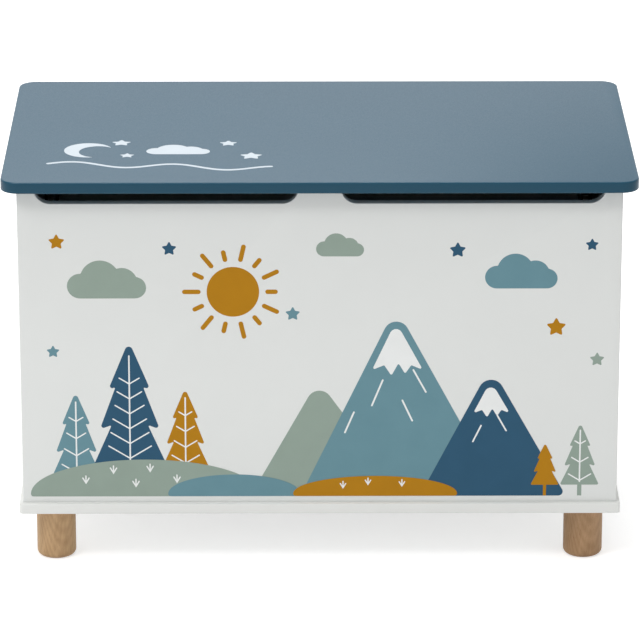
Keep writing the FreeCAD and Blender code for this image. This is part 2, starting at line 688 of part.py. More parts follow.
def bar(name, length, layer, start, lean, hole_radii):
    """Make a flat bar that runs from its first pivot, leaning as a rule says."""
    holes = [("0", "0", hole_radii[0]), (length, "0", hole_radii[1])]
    body = padded(name, "YZ_Plane",
                  [("0", f"-{bar_radius}"), (length, f"-{bar_radius}", bar_radius),
                   (f"{length} + {bar_radius}", "0", bar_radius), (length, bar_radius),
                   ("0", bar_radius, bar_radius), (f"-{bar_radius}", "0", bar_radius)],
                  "Sizes.stay_bar_thickness", (layer, *start), holes)
    angle = value_of(lean)
    body.Placement = FreeCAD.Placement(body.Placement.Base, Rotation(Vector(1, 0, 0), angle))
    body.setExpression("Placement.Rotation.Angle", lean)
    return body


arm_lean = "180 + atan(Sizes.stay_drop / Sizes.stay_reach) / 1 deg"
link_lean = "180 + atan(Sizes.stay_fall / Sizes.stay_back) / 1 deg"
stay_arm = bar("stay_arm", arm_length, arm_inner, (spindle_y, spindle_z), arm_lean,
               ("Sizes.spindle_radius + Sizes.running_gap",
                "Sizes.rivet_radius + Sizes.fastener_gap"))
stay_link = bar("stay_link", link_length, link_inner, (pin_y, pin_z), link_lean,
                ("Sizes.rivet_radius + Sizes.open_pivot_gap",
                 "Sizes.rivet_radius + Sizes.running_gap"))


def rivet(name, inner, outer, y, z):
    """Make a rivet across the stay: a shank with a head at each end."""
    low = f"({inner} - Sizes.moving_gap - Sizes.rivet_head_length)"
    shank = rod(f"{name}_shank", HEAD_RIGHT, (low, y, z), "Sizes.rivet_radius",
                f"{outer} + Sizes.rivet_head_length - {low}")
    inner_head = rod(f"{name}_inner_head", HEAD_RIGHT, (low, y, z),
                     "Sizes.rivet_head_radius", "Sizes.rivet_head_length")
    outer_head = rod(f"{name}_outer_head", HEAD_RIGHT, (outer, y, z),
                     "Sizes.rivet_head_radius", "Sizes.rivet_head_length")
    return join(name, [shank, inner_head, outer_head])


elbow_rivet = rivet("elbow_rivet", link_inner, arm_outer, f"{pin_y} - Sizes.stay_back",
                    f"{pin_z} - Sizes.stay_fall")
bracket_pin = rivet("bracket_pin", link_inner, tab_outer, pin_y, pin_z)

# Lid bracket: a tab that holds the pin and a flange under the lid
bracket_tab = padded("bracket_tab", "YZ_Plane",
                     [(f"-{bar_radius}", "0"), (f"-{bar_radius}", f"{pin_z} - {lid_under}",
                                                bar_radius),
                      ("0", f"{pin_z} - {lid_under} - {bar_radius}", bar_radius),
                      (bar_radius, f"{pin_z} - {lid_under}"), (bar_radius, "0")],
                     "Sizes.bracket_thickness", (arm_inner, pin_y, lid_under),
                     [("0", f"{pin_z} - {lid_under}", "Sizes.rivet_radius + Sizes.fastener_gap")])
flange_inner = f"({tab_outer} - Sizes.bracket_flange)"
bracket_flange = block("bracket_flange",
                       (flange_inner, f"{pin_y} - Sizes.bracket_half_length",
                        f"{lid_under} - Sizes.bracket_thickness"),
                       ("Sizes.bracket_flange", "2 * Sizes.bracket_half_length",
                        "Sizes.bracket_thickness"))
bracket_screw_x = f"({flange_inner} + (Sizes.bracket_flange - Sizes.bracket_thickness) / 2)"
bracket_screw_places = []
for sign in ("-", ""):
    for away in ("-", "+"):
        bracket_screw_places.append((f"{sign}{bracket_screw_x}",
                                     f"{pin_y} {away} Sizes.bracket_screw_pitch",
                                     f"{lid_under} - Sizes.bracket_thickness", HEAD_DOWN))
name_piece(spread("bracket_screws", small_screw, bracket_screw_places), "stay_bracket_screws")
bracket_holes = spread("bracket_holes", small_hole, bracket_screw_places)
stay_bracket = carve("stay_bracket", join("bracket_solid", [bracket_tab, bracket_flange]),
                     [bracket_holes])
for part, source in (("stay_plate", stay_plate_drilled), ("stay_drum", stay_drum),
                     ("stay_spindle", spindle), ("stay_arm", stay_arm),
                     ("stay_elbow_rivet", elbow_rivet), ("stay_link", stay_link),
                     ("stay_bracket", stay_bracket), ("stay_bracket_pin", bracket_pin)):
    name_piece(mirrored(f"{part}_mirrored", source), f"{part}_left")
    name_piece(source, f"{part}_right")

# Rubber bumpers on the top edges keep the lid off the panels by the moving gap
bumper = rod("bumper", HEAD_UP, ("0", "0", body_top), "Sizes.bumper_radius",
             f"{lid_under} - Sizes.moving_gap - {body_top}")
bumper_places = [
    ("0", front_middle, "0", HEAD_UP),
    (f"-{side_middle}", f"{inner_front} + Sizes.bumper_inset", "0", HEAD_UP),
    (side_middle, f"{inner_front} + Sizes.bumper_inset", "0", HEAD_UP),
]
name_piece(spread("bumpers", bumper, bumper_places), "lid_bumpers")

# Boards with the holes for their fasteners
name_piece(carve("lid", lid_blank, [hinge_lid_holes, bracket_holes]), "lid_panel")
name_piece(carve("front", front_blank, [dowel_holes, cam_bolt_holes, long_holes]),
           "front_panel")
name_piece(carve("back", back_blank,
                 [dowel_holes, cam_bolt_holes, cam_pockets, long_holes, hinge_body_holes]),
           "back_panel")
side_tools = [dowel_holes, cam_bolt_holes, cam_pockets, long_holes, stay_plate_holes]
name_piece(carve("side_left", left_side_blank, side_tools), "side_panel_left")
name_piece(carve("side_right", side_blank, side_tools), "side_panel_right")
name_piece(carve("base", base_blank, [tee_seats, long_holes]), "base_panel")

doc.recompute()

faults = []
for thing in doc.Objects:
    if "Invalid" in thing.State or "Error" in thing.State:
        faults.append(f"{thing.Label}: {thing.State}")
for thing in nodes:
    if thing.Shape.isNull() or not thing.Shape.isValid():
        faults.append(f"{thing.Label}: no valid shape")
if faults:
    raise RuntimeError("; ".join(faults))

os.makedirs("parts", exist_ok=True)
for thing in nodes:
    thing.Shape.exportStep(os.path.join("parts", f"{thing.Label}.step"))
print("wrote", len(nodes), "sub-parts")
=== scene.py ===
"""Toy chest of sprayed fibreboard with a printed front, on four turned beech feet.

Lengths are written in millimetres and turned to metres where a mesh is made. X runs to the
right, -Y to the front and Z up, with the origin on the floor under the middle of the lid.
"""

import logging
import math
from collections.abc import Callable, Mapping, Sequence
from dataclasses import dataclass, field
from enum import Enum
from typing import Any, TypeVar

import bpy
import numpy as np
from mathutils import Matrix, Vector


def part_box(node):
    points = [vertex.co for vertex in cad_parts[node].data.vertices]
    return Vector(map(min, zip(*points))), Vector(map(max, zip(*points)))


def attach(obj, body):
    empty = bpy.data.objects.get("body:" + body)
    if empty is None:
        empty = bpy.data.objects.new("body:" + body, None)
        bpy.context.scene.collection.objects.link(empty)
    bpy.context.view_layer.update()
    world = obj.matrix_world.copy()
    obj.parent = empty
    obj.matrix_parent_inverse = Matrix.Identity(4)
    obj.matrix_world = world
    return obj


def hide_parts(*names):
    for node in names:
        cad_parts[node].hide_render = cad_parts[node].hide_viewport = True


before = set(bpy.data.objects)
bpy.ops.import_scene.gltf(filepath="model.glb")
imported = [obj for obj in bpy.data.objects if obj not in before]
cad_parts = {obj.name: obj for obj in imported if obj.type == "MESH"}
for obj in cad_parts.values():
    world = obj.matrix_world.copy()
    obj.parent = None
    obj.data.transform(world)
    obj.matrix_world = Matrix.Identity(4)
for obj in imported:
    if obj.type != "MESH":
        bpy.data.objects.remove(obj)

Array = np.ndarray
Point = tuple[float, float]
Place = Sequence[float]
Relief = Callable[[Array, Array], Array]
Owner = TypeVar("Owner", bpy.types.Material, bpy.types.World)
MM = 0.001
TINY = 1e-9
# Edges that fold by more than this are shaded sharp.
CREASE = math.radians(38)
FEET = tuple(f"foot_{row}_{side}" for row in ("front", "rear") for side in ("left", "right"))
LOG = logging.getLogger("toy_chest")


def span(node: str) -> tuple[Array, Array]:
    """Return a solid's lowest and highest corner in millimetres."""
    low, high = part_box(node)
    return np.array(low) / MM, np.array(high) / MM


def centre(node: str) -> Array:
    """Return the middle of a solid's box in millimetres."""
    return np.mean(span(node), axis=0)


# Surfaces


@dataclass
class Surface:
    """A mesh in the making: points in millimetres, faces, and how many last faces are flat."""

    points: Array
    faces: list[tuple[int, ...]]
    flat: int = 0


class Facing(Enum):
    """The way a face looks: its plane's axes A and B and its outward axis C."""

    FRONT = ((1, 0, 0), (0, 0, 1), (0, -1, 0))
    BACK = ((-1, 0, 0), (0, 0, 1), (0, 1, 0))
    RIGHT = ((0, 1, 0), (0, 0, 1), (1, 0, 0))
    LEFT = ((0, -1, 0), (0, 0, 1), (-1, 0, 0))
    TOP = ((1, 0, 0), (0, 1, 0), (0, 0, 1))
    UNDER = ((1, 0, 0), (0, -1, 0), (0, 0, -1))

    def place(self, across: Array, up: Array, outward: Array, origin: Place) -> Array:
        """Return the points origin + across*A + up*B + outward*C, one row each."""
        axes = np.array(self.value, dtype=float)
        return np.stack([across, up, outward], axis=-1) @ axes + np.array(origin, dtype=float)


def arc(turn: Array, radius: Array | float = 1.0) -> Array:
    """Return the points r (cos t, sin t), one row for each angle t in radians."""
    return np.reshape(radius, (-1, 1)) * np.stack([np.cos(turn), np.sin(turn)], axis=1)


def rounded(corners: Array, radii: Place | float, steps: int = 6) -> Array:
    """Round an outline's corners.

    With unit vectors a and b from a corner c to its neighbours and the angle w between them,
    the arc's ends lie r/tan(w/2) from c, its centre is m = c + (a+b)/|a+b| * r/sin(w/2), and
    its points are m + (sin((1-s)v) p + sin(s v) q)/sin v for s from 0 to 1, with p and q the
    spokes to the arc's ends and v = pi - w the angle between them.

    Args:
        corners: Corners, one row each, anticlockwise.
        radii: One radius for all corners, or one each; 0 keeps a corner.
        steps: Points on each arc.

    Returns:
        The rounded outline, one row per point, without points that fall together.
    """
    corners = np.asarray(corners, dtype=float)
    radius = np.broadcast_to(np.asarray(radii, dtype=float), (len(corners),))[:, None]
    back = np.roll(corners, 1, axis=0) - corners
    on = np.roll(corners, -1, axis=0) - corners
    back /= np.linalg.norm(back, axis=1, keepdims=True)
    on /= np.linalg.norm(on, axis=1, keepdims=True)
    angle = np.arccos(np.clip(np.sum(back * on, axis=1, keepdims=True), TINY - 1, 1 - TINY))
    middle = back + on
    middle /= np.maximum(np.linalg.norm(middle, axis=1, keepdims=True), TINY)
    centre = corners + middle * radius / np.sin(angle / 2)
    reach = radius / np.tan(angle / 2)
    spoke_in = (corners + back * reach - centre)[:, None]
    spoke_out = (corners + on * reach - centre)[:, None]
    turn = (math.pi - angle)[:, None]
    share = np.linspace(0, 1, steps)[None, :, None]
    arcs = centre[:, None] + (np.sin((1 - share) * turn) * spoke_in
                              + np.sin(share * turn) * spoke_out) / np.sin(turn)
    outline = arcs.reshape(-1, 2)
    least_gap = 1e-4
    return outline[np.linalg.norm(outline - np.roll(outline, 1, axis=0), axis=1) > least_gap]


def box_outline(left: float, right: float, low: float, high: float) -> Array:
    """Return a rectangle's corners, anticlockwise."""
    return np.array([(left, low), (right, low), (right, high), (left, high)], dtype=float)


def outward_normals(outline: Array) -> Array:
    """Return mitred outward normals of an anticlockwise outline.

    Between edge normals n1 and n2 the mitre is (n1 + n2) / (1 + n1.n2), which keeps an
    offset outline parallel to the first. Very sharp corners are held back.

    Args:
        outline: The outline's points.

    Returns:
        One normal per point.
    """
    sharpest = 0.4
    edge = np.roll(outline, -1, axis=0) - outline
    edge /= np.linalg.norm(edge, axis=1, keepdims=True)
    after = np.stack([edge[:, 1], -edge[:, 0]], axis=1)
    before = np.roll(after, 1, axis=0)
    opening = 1 + np.sum(before * after, axis=1, keepdims=True)
    return (before + after) / np.maximum(opening, sharpest)


def closed_rings(points: Array, flat: int = 0) -> Surface:
    """Join rings of points that turn anticlockwise seen from the first ring's side.

    Args:
        points: Ring by ring, its points.
        flat: How many of the two end faces, which close the first and last ring, are flat.

    Returns:
        The closed surface, faces outward.
    """
    rings, count = points.shape[:2]
    ring, spot = np.meshgrid(np.arange(rings - 1), np.arange(count), indexing="ij")
    follower = (spot + 1) % count
    quads = np.stack([ring * count + spot, (ring + 1) * count + spot,
                      (ring + 1) * count + follower, ring * count + follower], axis=-1)
    last = (rings - 1) * count
    faces = [tuple(quad) for quad in quads.reshape(-1, 4).tolist()]
    faces += [tuple(range(count)), tuple(range(last + count - 1, last - 1, -1))]
    return Surface(points.reshape(-1, 3), faces, flat)


def slab(outline: Array, facing: Facing, origin: Place, thickness: float,
         front_edge: Array | float, back_edge: float, steps: int = 5) -> Surface:
    """Carry a rounded edge profile round an outline and close both faces.

    The surface is P(i) - d(k) N(i) at depth w(k). At the front edge of radius r the profile
    is d = r(1 - sin a), w = r(1 - cos a) for a from 0 to 90 degrees, and the back edge is the
    same seen from behind.

    Args:
        outline: The board's outline, anticlockwise seen from outside.
        facing: Which way the front face looks.
        origin: Where the outline's plane has its origin; the front face lies in it.
        thickness: Depth from the front face to the back face.
        front_edge: Rounding radius of the front face's edge: one, or one per outline point.
        back_edge: Rounding radius of the back face's edge.
        steps: Points on each rounding.

    Returns:
        The closed slab.
    """
    count = len(outline)
    angle = np.linspace(0, math.pi / 2, steps)[:, None]
    near = np.broadcast_to(np.asarray(front_edge, dtype=float), (count,))[None]
    far = np.full((1, count), back_edge)
    inset = np.concatenate([(1 - np.sin(angle)) * near, (1 - np.sin(angle[::-1])) * far])
    depth = np.concatenate([(1 - np.cos(angle)) * near,
                            thickness - (1 - np.cos(angle[::-1])) * far])
    rings = outline[None] - inset[..., None] * outward_normals(outline)[None]
    return closed_rings(facing.place(rings[..., 0], rings[..., 1], -depth, origin), flat=2)


def board(node: str, facing: Facing, edges: Point, steps: int = 5, corner: float = 0.0,
          corner_steps: int = 2, room: float = 0.0) -> Surface:
    """Make a board with rounded edges in the box of its solid.

    Args:
        node: The solid.
        facing: Which way its front face looks.
        edges: Rounding radii of the front face's edge and of the back face's.
        steps: Points on each of those roundings.
        corner: Radius of the outline's corners.
        corner_steps: Points on each corner.
        room: How far the front face is set back for a print on it.

    Returns:
        The closed board.
    """
    ends = np.array(span(node)) @ np.array(facing.value, dtype=float).T
    (left, low, _), (right, high, face) = ends.min(axis=0), ends.max(axis=0)
    outline = rounded(box_outline(left, right, low, high), corner, corner_steps)
    origin = (face - room) * np.array(facing.value[2], dtype=float)
    return slab(outline, facing, origin, face - room - ends[:, 2].min(), *edges, steps)


def film(outline: Array, facing: Facing, origin: Place, height: float) -> Surface:
    """Lay a printed film on a board.

    Args:
        outline: The motif's outline, anticlockwise.
        facing: Which way the board's face looks.
        origin: The motif's origin on that face.
        height: How far the film's face stands over the board's.

    Returns:
        The closed film, which reaches a little into the board.
    """
    sunk, edge = 0.05, 0.03
    top = np.array(origin) + height * np.array(facing.value[2])
    return slab(outline, facing, top, height + sunk, edge, 0, 2)


def turned(profile: Array, facing: Facing, origin: Place, segments: int = 48,
           relief: Relief | None = None, face_rows: int = 0,
           flutes: tuple[int, float] = (0, 0.0)) -> Surface:
    """Carry a profile of (radius, height) round an axis.

    The surface is (R cos t, R sin t, h + relief), with t from 0 to 360 degrees and
    R = r - depth (1 + cos(n t))/2 on the rim, the rings within 1.5 percent of the widest,
    where there are n flutes. The first and last rings are closed by discs.

    Args:
        profile: Rows of radius and height, from the outer end inwards along the axis.
        facing: The way the first ring looks.
        origin: The axis's zero point.
        segments: Points on each ring.
        relief: Height added as a function of the place on the end face, or None.
        face_rows: How many of the first rows take the relief.
        flutes: How many flutes run along the rim, and their depth.

    Returns:
        The closed turning.
    """
    angle = np.arange(segments) * (2 * math.pi / segments)
    number, depth = flutes
    rim = profile[:, :1] > 0.985 * profile[:, 0].max()
    radius = profile[:, :1] - rim * depth * (1 + np.cos(number * angle)[None]) / 2
    across = radius * np.cos(angle)[None]
    up = radius * np.sin(angle)[None]
    height = np.broadcast_to(profile[:, 1:], across.shape)
    if relief is not None:
        height = height + (np.arange(len(profile)) < face_rows)[:, None] * relief(across, up)
    return closed_rings(facing.place(across, up, height, origin))


def dome(radius: float, height: float) -> Array:
    """Return a low dome's profile from its crown out: r = R sin t and h = H (cos t - 1)."""
    turn = np.radians(np.array([3, 20, 40, 60, 75, 90]))
    return np.stack([radius * np.sin(turn), height * (np.cos(turn) - 1)], axis=1)


def cross_recess(width: float, reach: float, depth: float) -> Relief:
    """Return the relief of a cross-shaped driver recess.

    With s = min(|x|, |y|) and l = max(|x|, |y|) the relief is
    -depth * clip(1.5 - s/width, 0, 1) * clip(3(1 - l/reach), 0, 1).

    Args:
        width: Half the width of an arm.
        reach: Length of an arm from the middle.
        depth: How deep the middle lies.

    Returns:
        A function of two coordinate arrays.
    """

    def relief(across: Array, up: Array) -> Array:
        """Return the recess's height at each place."""
        small, large = np.minimum(abs(across), abs(up)), np.maximum(abs(across), abs(up))
        return -depth * np.clip(1.5 - small / width, 0, 1) * np.clip(3 * (1 - large / reach), 0, 1)

    return relief


def stroke(points: Sequence[Point] | Array, width: float) -> Array:
    """Draw a line of even width with round ends.

    The outline is p(i) + w/2 n(i) forward, a half circle, p(i) - w/2 n(i) back and another
    half circle, with n the mitred normal on the path's right.

    Args:
        points: The line's points.
        width: Its width.

    Returns:
        The line's outline, anticlockwise.
    """
    path = np.asarray(points, dtype=float)
    edge = np.diff(path, axis=0)
    edge /= np.linalg.norm(edge, axis=1, keepdims=True)
    side = np.stack([edge[:, 1], -edge[:, 0]], axis=1)
    mitre = (side[:-1] + side[1:]) / (1 + np.sum(side[:-1] * side[1:], axis=1, keepdims=True))
    normals = np.concatenate([side[:1], mitre, side[-1:]])
    turn = np.linspace(0, math.pi, 9)[1:-1, None]
    reach = width / 2
    far = path[-1] + reach * (np.cos(turn) * side[-1] + np.sin(turn) * edge[-1])
    near = path[0] - reach * (np.cos(turn) * side[0] + np.sin(turn) * edge[0])
    return np.concatenate([path + reach * normals, far, (path - reach * normals)[::-1], near])


def star(middle: Point, size: float) -> Array:
    """Draw a five-pointed star with rounded points; its inner corners lie half way in.

    Args:
        middle: Its middle.
        size: Distance of the points from it before rounding.

    Returns:
        The outline, anticlockwise.
    """
    outer = np.arange(10) % 2 == 0
    turn = math.pi / 2 + np.arange(10) * (math.pi / 5)
    corners = np.array(middle) + arc(turn, size * np.where(outer, 1.0, 0.52))
    return rounded(corners, size * np.where(outer, 0.10, 0.08), 5)


def crescent(middle: Point, size: float, tilt: float) -> Array:
    """Draw a crescent moon.

    Its back is R (cos t, sin t) for t from 50 to 310 degrees. Its hollow is an arc of radius
    r = |tip - (d, 0)| about (d, 0) with d = 0.46 R, from one tip back to the other.

    Args:
        middle: The middle of the back's circle.
        size: Its radius R.
        tilt: Turn of the whole moon, in degrees.

    Returns:
        The outline, anticlockwise.
    """
    half = math.radians(50)
    back = arc(np.linspace(half, 2 * math.pi - half, 60), size)
    shift = np.array([0.46 * size, 0.0])
    tip = back[0] - shift
    lean = math.atan2(tip[1], tip[0])
    hollow = shift + arc(np.linspace(2 * math.pi - lean, lean, 40)[1:-1], np.hypot(*tip))
    angle = math.radians(tilt)
    spin = np.array([[math.cos(angle), math.sin(angle)], [-math.sin(angle), math.cos(angle)]])
    return np.array(middle) + np.concatenate([back, hollow]) @ spin


def hill(middle: Point, half_width: float, height: float) -> Array:
    """Draw a low hill with round lower corners.

    The crest is (w cos t, q + (h - q) sin t) for t from 0 to 180 degrees; quarter circles of
    radius q join its ends to the base.

    Args:
        middle: The middle of the base.
        half_width: Half the base's width.
        height: Height over the base.

    Returns:
        The outline, anticlockwise.
    """
    corner = 3.0
    crest = (0, corner) + (half_width, height - corner) * arc(np.linspace(0, math.pi, 64))
    left = (corner - half_width, corner) + arc(np.linspace(math.pi, 1.5 * math.pi, 6)[1:], corner)
    return np.array(middle) + np.concatenate([crest, left, (left * (-1, 1))[::-1]])


def cloud(middle: Point, length: float) -> Array:
    """Draw a cloud of four puffs on a flat base.

    Along each ray from the middle the outline is where the ray leaves the last puff,
    c.u + sqrt(r^2 - |c|^2 + (c.u)^2), and no lower than the base, which joins the outer
    puffs' lowest points.

    Args:
        middle: The point that the rays start from.
        length: The cloud's length.

    Returns:
        The outline, anticlockwise.
    """
    puffs = np.array([(-0.30, 0.03, 0.15), (-0.07, 0.11, 0.23), (0.18, 0.07, 0.18),
                      (0.33, 0.01, 0.13)]) * length
    base = 0.12 * length
    way = arc(np.arange(160) * (2 * math.pi / 160))
    along = way @ puffs[:, :2].T
    inside = puffs[:, 2] ** 2 - np.sum(puffs[:, :2] ** 2, axis=1) + along ** 2
    reach = np.where(inside > 0, along + np.sqrt(np.maximum(inside, 0)), 0).max(axis=1)
    down = base / np.maximum(-way[:, 1], TINY)
    foot = down * way[:, 0]
    over_base = (way[:, 1] < 0) & (foot > puffs[0, 0]) & (foot < puffs[3, 0])
    reach = np.where(over_base, down, np.minimum(reach, down))
    return np.array(middle) + reach[:, None] * way


def gather(surfaces: Sequence[Surface]) -> Surface:
    """Put several surfaces into one.

    Args:
        surfaces: The surfaces.

    Returns:
        All their points and faces, the flat faces last.
    """
    starts = np.cumsum([0] + [len(item.points) for item in surfaces[:-1]])
    smooth: list[tuple[int, ...]] = []
    flat: list[tuple[int, ...]] = []
    for start, item in zip(starts.tolist(), surfaces):
        moved = [tuple(index + start for index in face) for face in item.faces]
        cut = len(moved) - item.flat
        smooth += moved[:cut]
        flat += moved[cut:]
    return Surface(np.concatenate([item.points for item in surfaces]), smooth + flat, len(flat))


def mirror(surface: Surface) -> Surface:
    """Return a surface's mirror image left to right, with its faces turned back outward."""
    return Surface(surface.points * np.array([-1.0, 1.0, 1.0]),
                   [face[::-1] for face in surface.faces], surface.flat)


# Finishes


def to_linear(code: str) -> tuple[float, float, float, float]:
    """Turn an sRGB hex code into linear colour.

    Args:
        code: Six hex digits after a #.

    Returns:
        Red, green, blue and an alpha of 1.
    """
    levels = np.array([int(code[start:start + 2], 16) for start in (1, 3, 5)]) / 255
    linear = np.where(levels <= 0.04045, levels / 12.92, ((levels + 0.055) / 1.055) ** 2.4)
    return (*linear.tolist(), 1.0)


def add_node(owner: Owner, kind: str, inputs: Mapping[str | int, Any] | None = None,
             **settings: str) -> bpy.types.Node:
    """Add a node with its settings, and set or link its inputs.

    Args:
        owner: The material or world whose tree it goes into.
        kind: Its type, without the word ShaderNode.
        inputs: Values, or sockets or nodes to link, by the name or number of an input; a node
            stands for the first output that it has in use.
        settings: Its other attributes.

    Returns:
        The new node.
    """
    node = owner.node_tree.nodes.new(f"ShaderNode{kind}")
    for key, setting in settings.items():
        setattr(node, key, setting)
    for key, value in (inputs or {}).items():
        if isinstance(value, bpy.types.Node):
            value = next(socket for socket in value.outputs if socket.enabled)
        if isinstance(value, bpy.types.NodeSocket):
            owner.node_tree.links.new(value, node.inputs[key])
        else:
            node.inputs[key].default_value = value
    return node


def emptied(owner: Owner) -> Owner:
    """Put a material's or world's node tree in use and empty it.

    Args:
        owner: The new material or world.

    Returns:
        The same one.
    """
    owner.use_nodes = True
    owner.node_tree.nodes.clear()
    return owner


def per_metre(spacing_mm: float) -> float:
    """Return the texture scale whose pattern repeats about every so many millimetres."""
    return 1 / (spacing_mm * MM)


@dataclass(frozen=True)
class Finish:
    """A surface of two close colours that its own pattern mixes."""

    name: str
    colour: str
    shade: str
    roughness: float

    def looks(self, made: bpy.types.Material, place: bpy.types.NodeSocket) -> dict[str, Any]:
        """Add the nodes of the finish's own patterns.

        Args:
            made: The material in the making.
            place: Its Object coordinates.

        Returns:
            What the shader's inputs take, by name.
        """
        raise NotImplementedError

    def material(self) -> bpy.types.Material:
        """Build the material: coordinates, the finish's own nodes, shader and output.

        Returns:
            The new material.
        """
        made = emptied(bpy.data.materials.new(self.name))
        place = add_node(made, "TexCoord").outputs["Object"]
        shader = add_node(made, "BsdfPrincipled", self.looks(made, place))
        add_node(made, "OutputMaterial", {"Surface": shader})
        return made


@dataclass(frozen=True)
class SprayedLacquer(Finish):
    """Two-part polyurethane lacquer sprayed on fibreboard and left satin.

    To the eye it is one closed, even skin with a soft sheen. Its drops leave an orange peel
    that blurs reflections a little, the board drinks slightly more colour in some places than
    in others, and dust in the wet coat dulls it in specks. The specks are drawn a few times
    coarser than they are, because real ones are too fine to show.
    """

    ior: float = 1.5
    cloud_mm: float = 90
    dust_mm: float = 1.1
    peel_mm: float = 3.2
    peel_height_mm: float = 0.010

    def looks(self, made: bpy.types.Material, place: bpy.types.NodeSocket) -> dict[str, Any]:
        """Add clouding, dust and orange peel.

        Args:
            made: The material in the making.
            place: Its Object coordinates.

        Returns:
            What the shader's inputs take, by name.
        """
        cloudy = add_node(made, "TexNoise", {
            "Vector": place, "Scale": per_metre(self.cloud_mm), "Detail": 3.0,
            "Roughness": 0.55})
        colour = add_node(made, "Mix", {
            0: cloudy, 6: to_linear(self.colour), 7: to_linear(self.shade)}, data_type="RGBA")
        dust = add_node(made, "TexNoise", {
            "Vector": place, "Scale": per_metre(self.dust_mm), "Detail": 2.0})
        rough = add_node(made, "MapRange", {
            "Value": dust, "From Min": 0.3, "From Max": 0.75,
            "To Min": self.roughness - 0.04, "To Max": self.roughness + 0.06})
        peel = add_node(made, "TexNoise", {
            "Vector": place, "Scale": per_metre(self.peel_mm), "Detail": 2.0, "Roughness": 0.4})
        bump = add_node(made, "Bump", {
            "Strength": 0.6, "Distance": self.peel_height_mm * MM, "Height": peel})
        return {"Base Color": colour, "Roughness": rough, "IOR": self.ior, "Normal": bump}


@dataclass(frozen=True)
class PrintedInk(Finish):
    """UV-cured ink, screen printed on the lacquer: an opaque, matt film.

    To the eye its colours are flat and deep, because its fine tooth swallows most of the
    shine: hence its low specular level. The screen's mesh leaves it slightly thicker and
    thinner from place to place, which shows as a faint mottle. The mesh is too fine to show,
    so the mottle is drawn several times coarser.
    """

    specular: float = 0.2
    mottle_mm: float = 1.6
    patch_mm: float = 26
    tooth_height_mm: float = 0.012

    def looks(self, made: bpy.types.Material, place: bpy.types.NodeSocket) -> dict[str, Any]:
        """Add mottle, broad patches and tooth.

        Args:
            made: The material in the making.
            place: Its Object coordinates.

        Returns:
            What the shader's inputs take, by name.
        """
        mottle = add_node(made, "TexNoise", {
            "Vector": place, "Scale": per_metre(self.mottle_mm), "Detail": 4.0,
            "Roughness": 0.7})
        patch = add_node(made, "TexNoise", {
            "Vector": place, "Scale": per_metre(self.patch_mm), "Detail": 2.0})
        joined = add_node(made, "Math", {0: mottle, 1: 0.45, 2: patch},
                          operation="MULTIPLY_ADD")
        share = add_node(made, "MapRange", {
            "Value": joined, "From Min": 0.45, "From Max": 1.0})
        colour = add_node(made, "Mix", {
            0: share, 6: to_linear(self.colour), 7: to_linear(self.shade)}, data_type="RGBA")
        bump = add_node(made, "Bump", {
            "Strength": 0.5, "Distance": self.tooth_height_mm * MM, "Height": mottle})
        return {"Base Color": colour, "Roughness": self.roughness,
                "Specular IOR Level": self.specular, "Normal": bump}


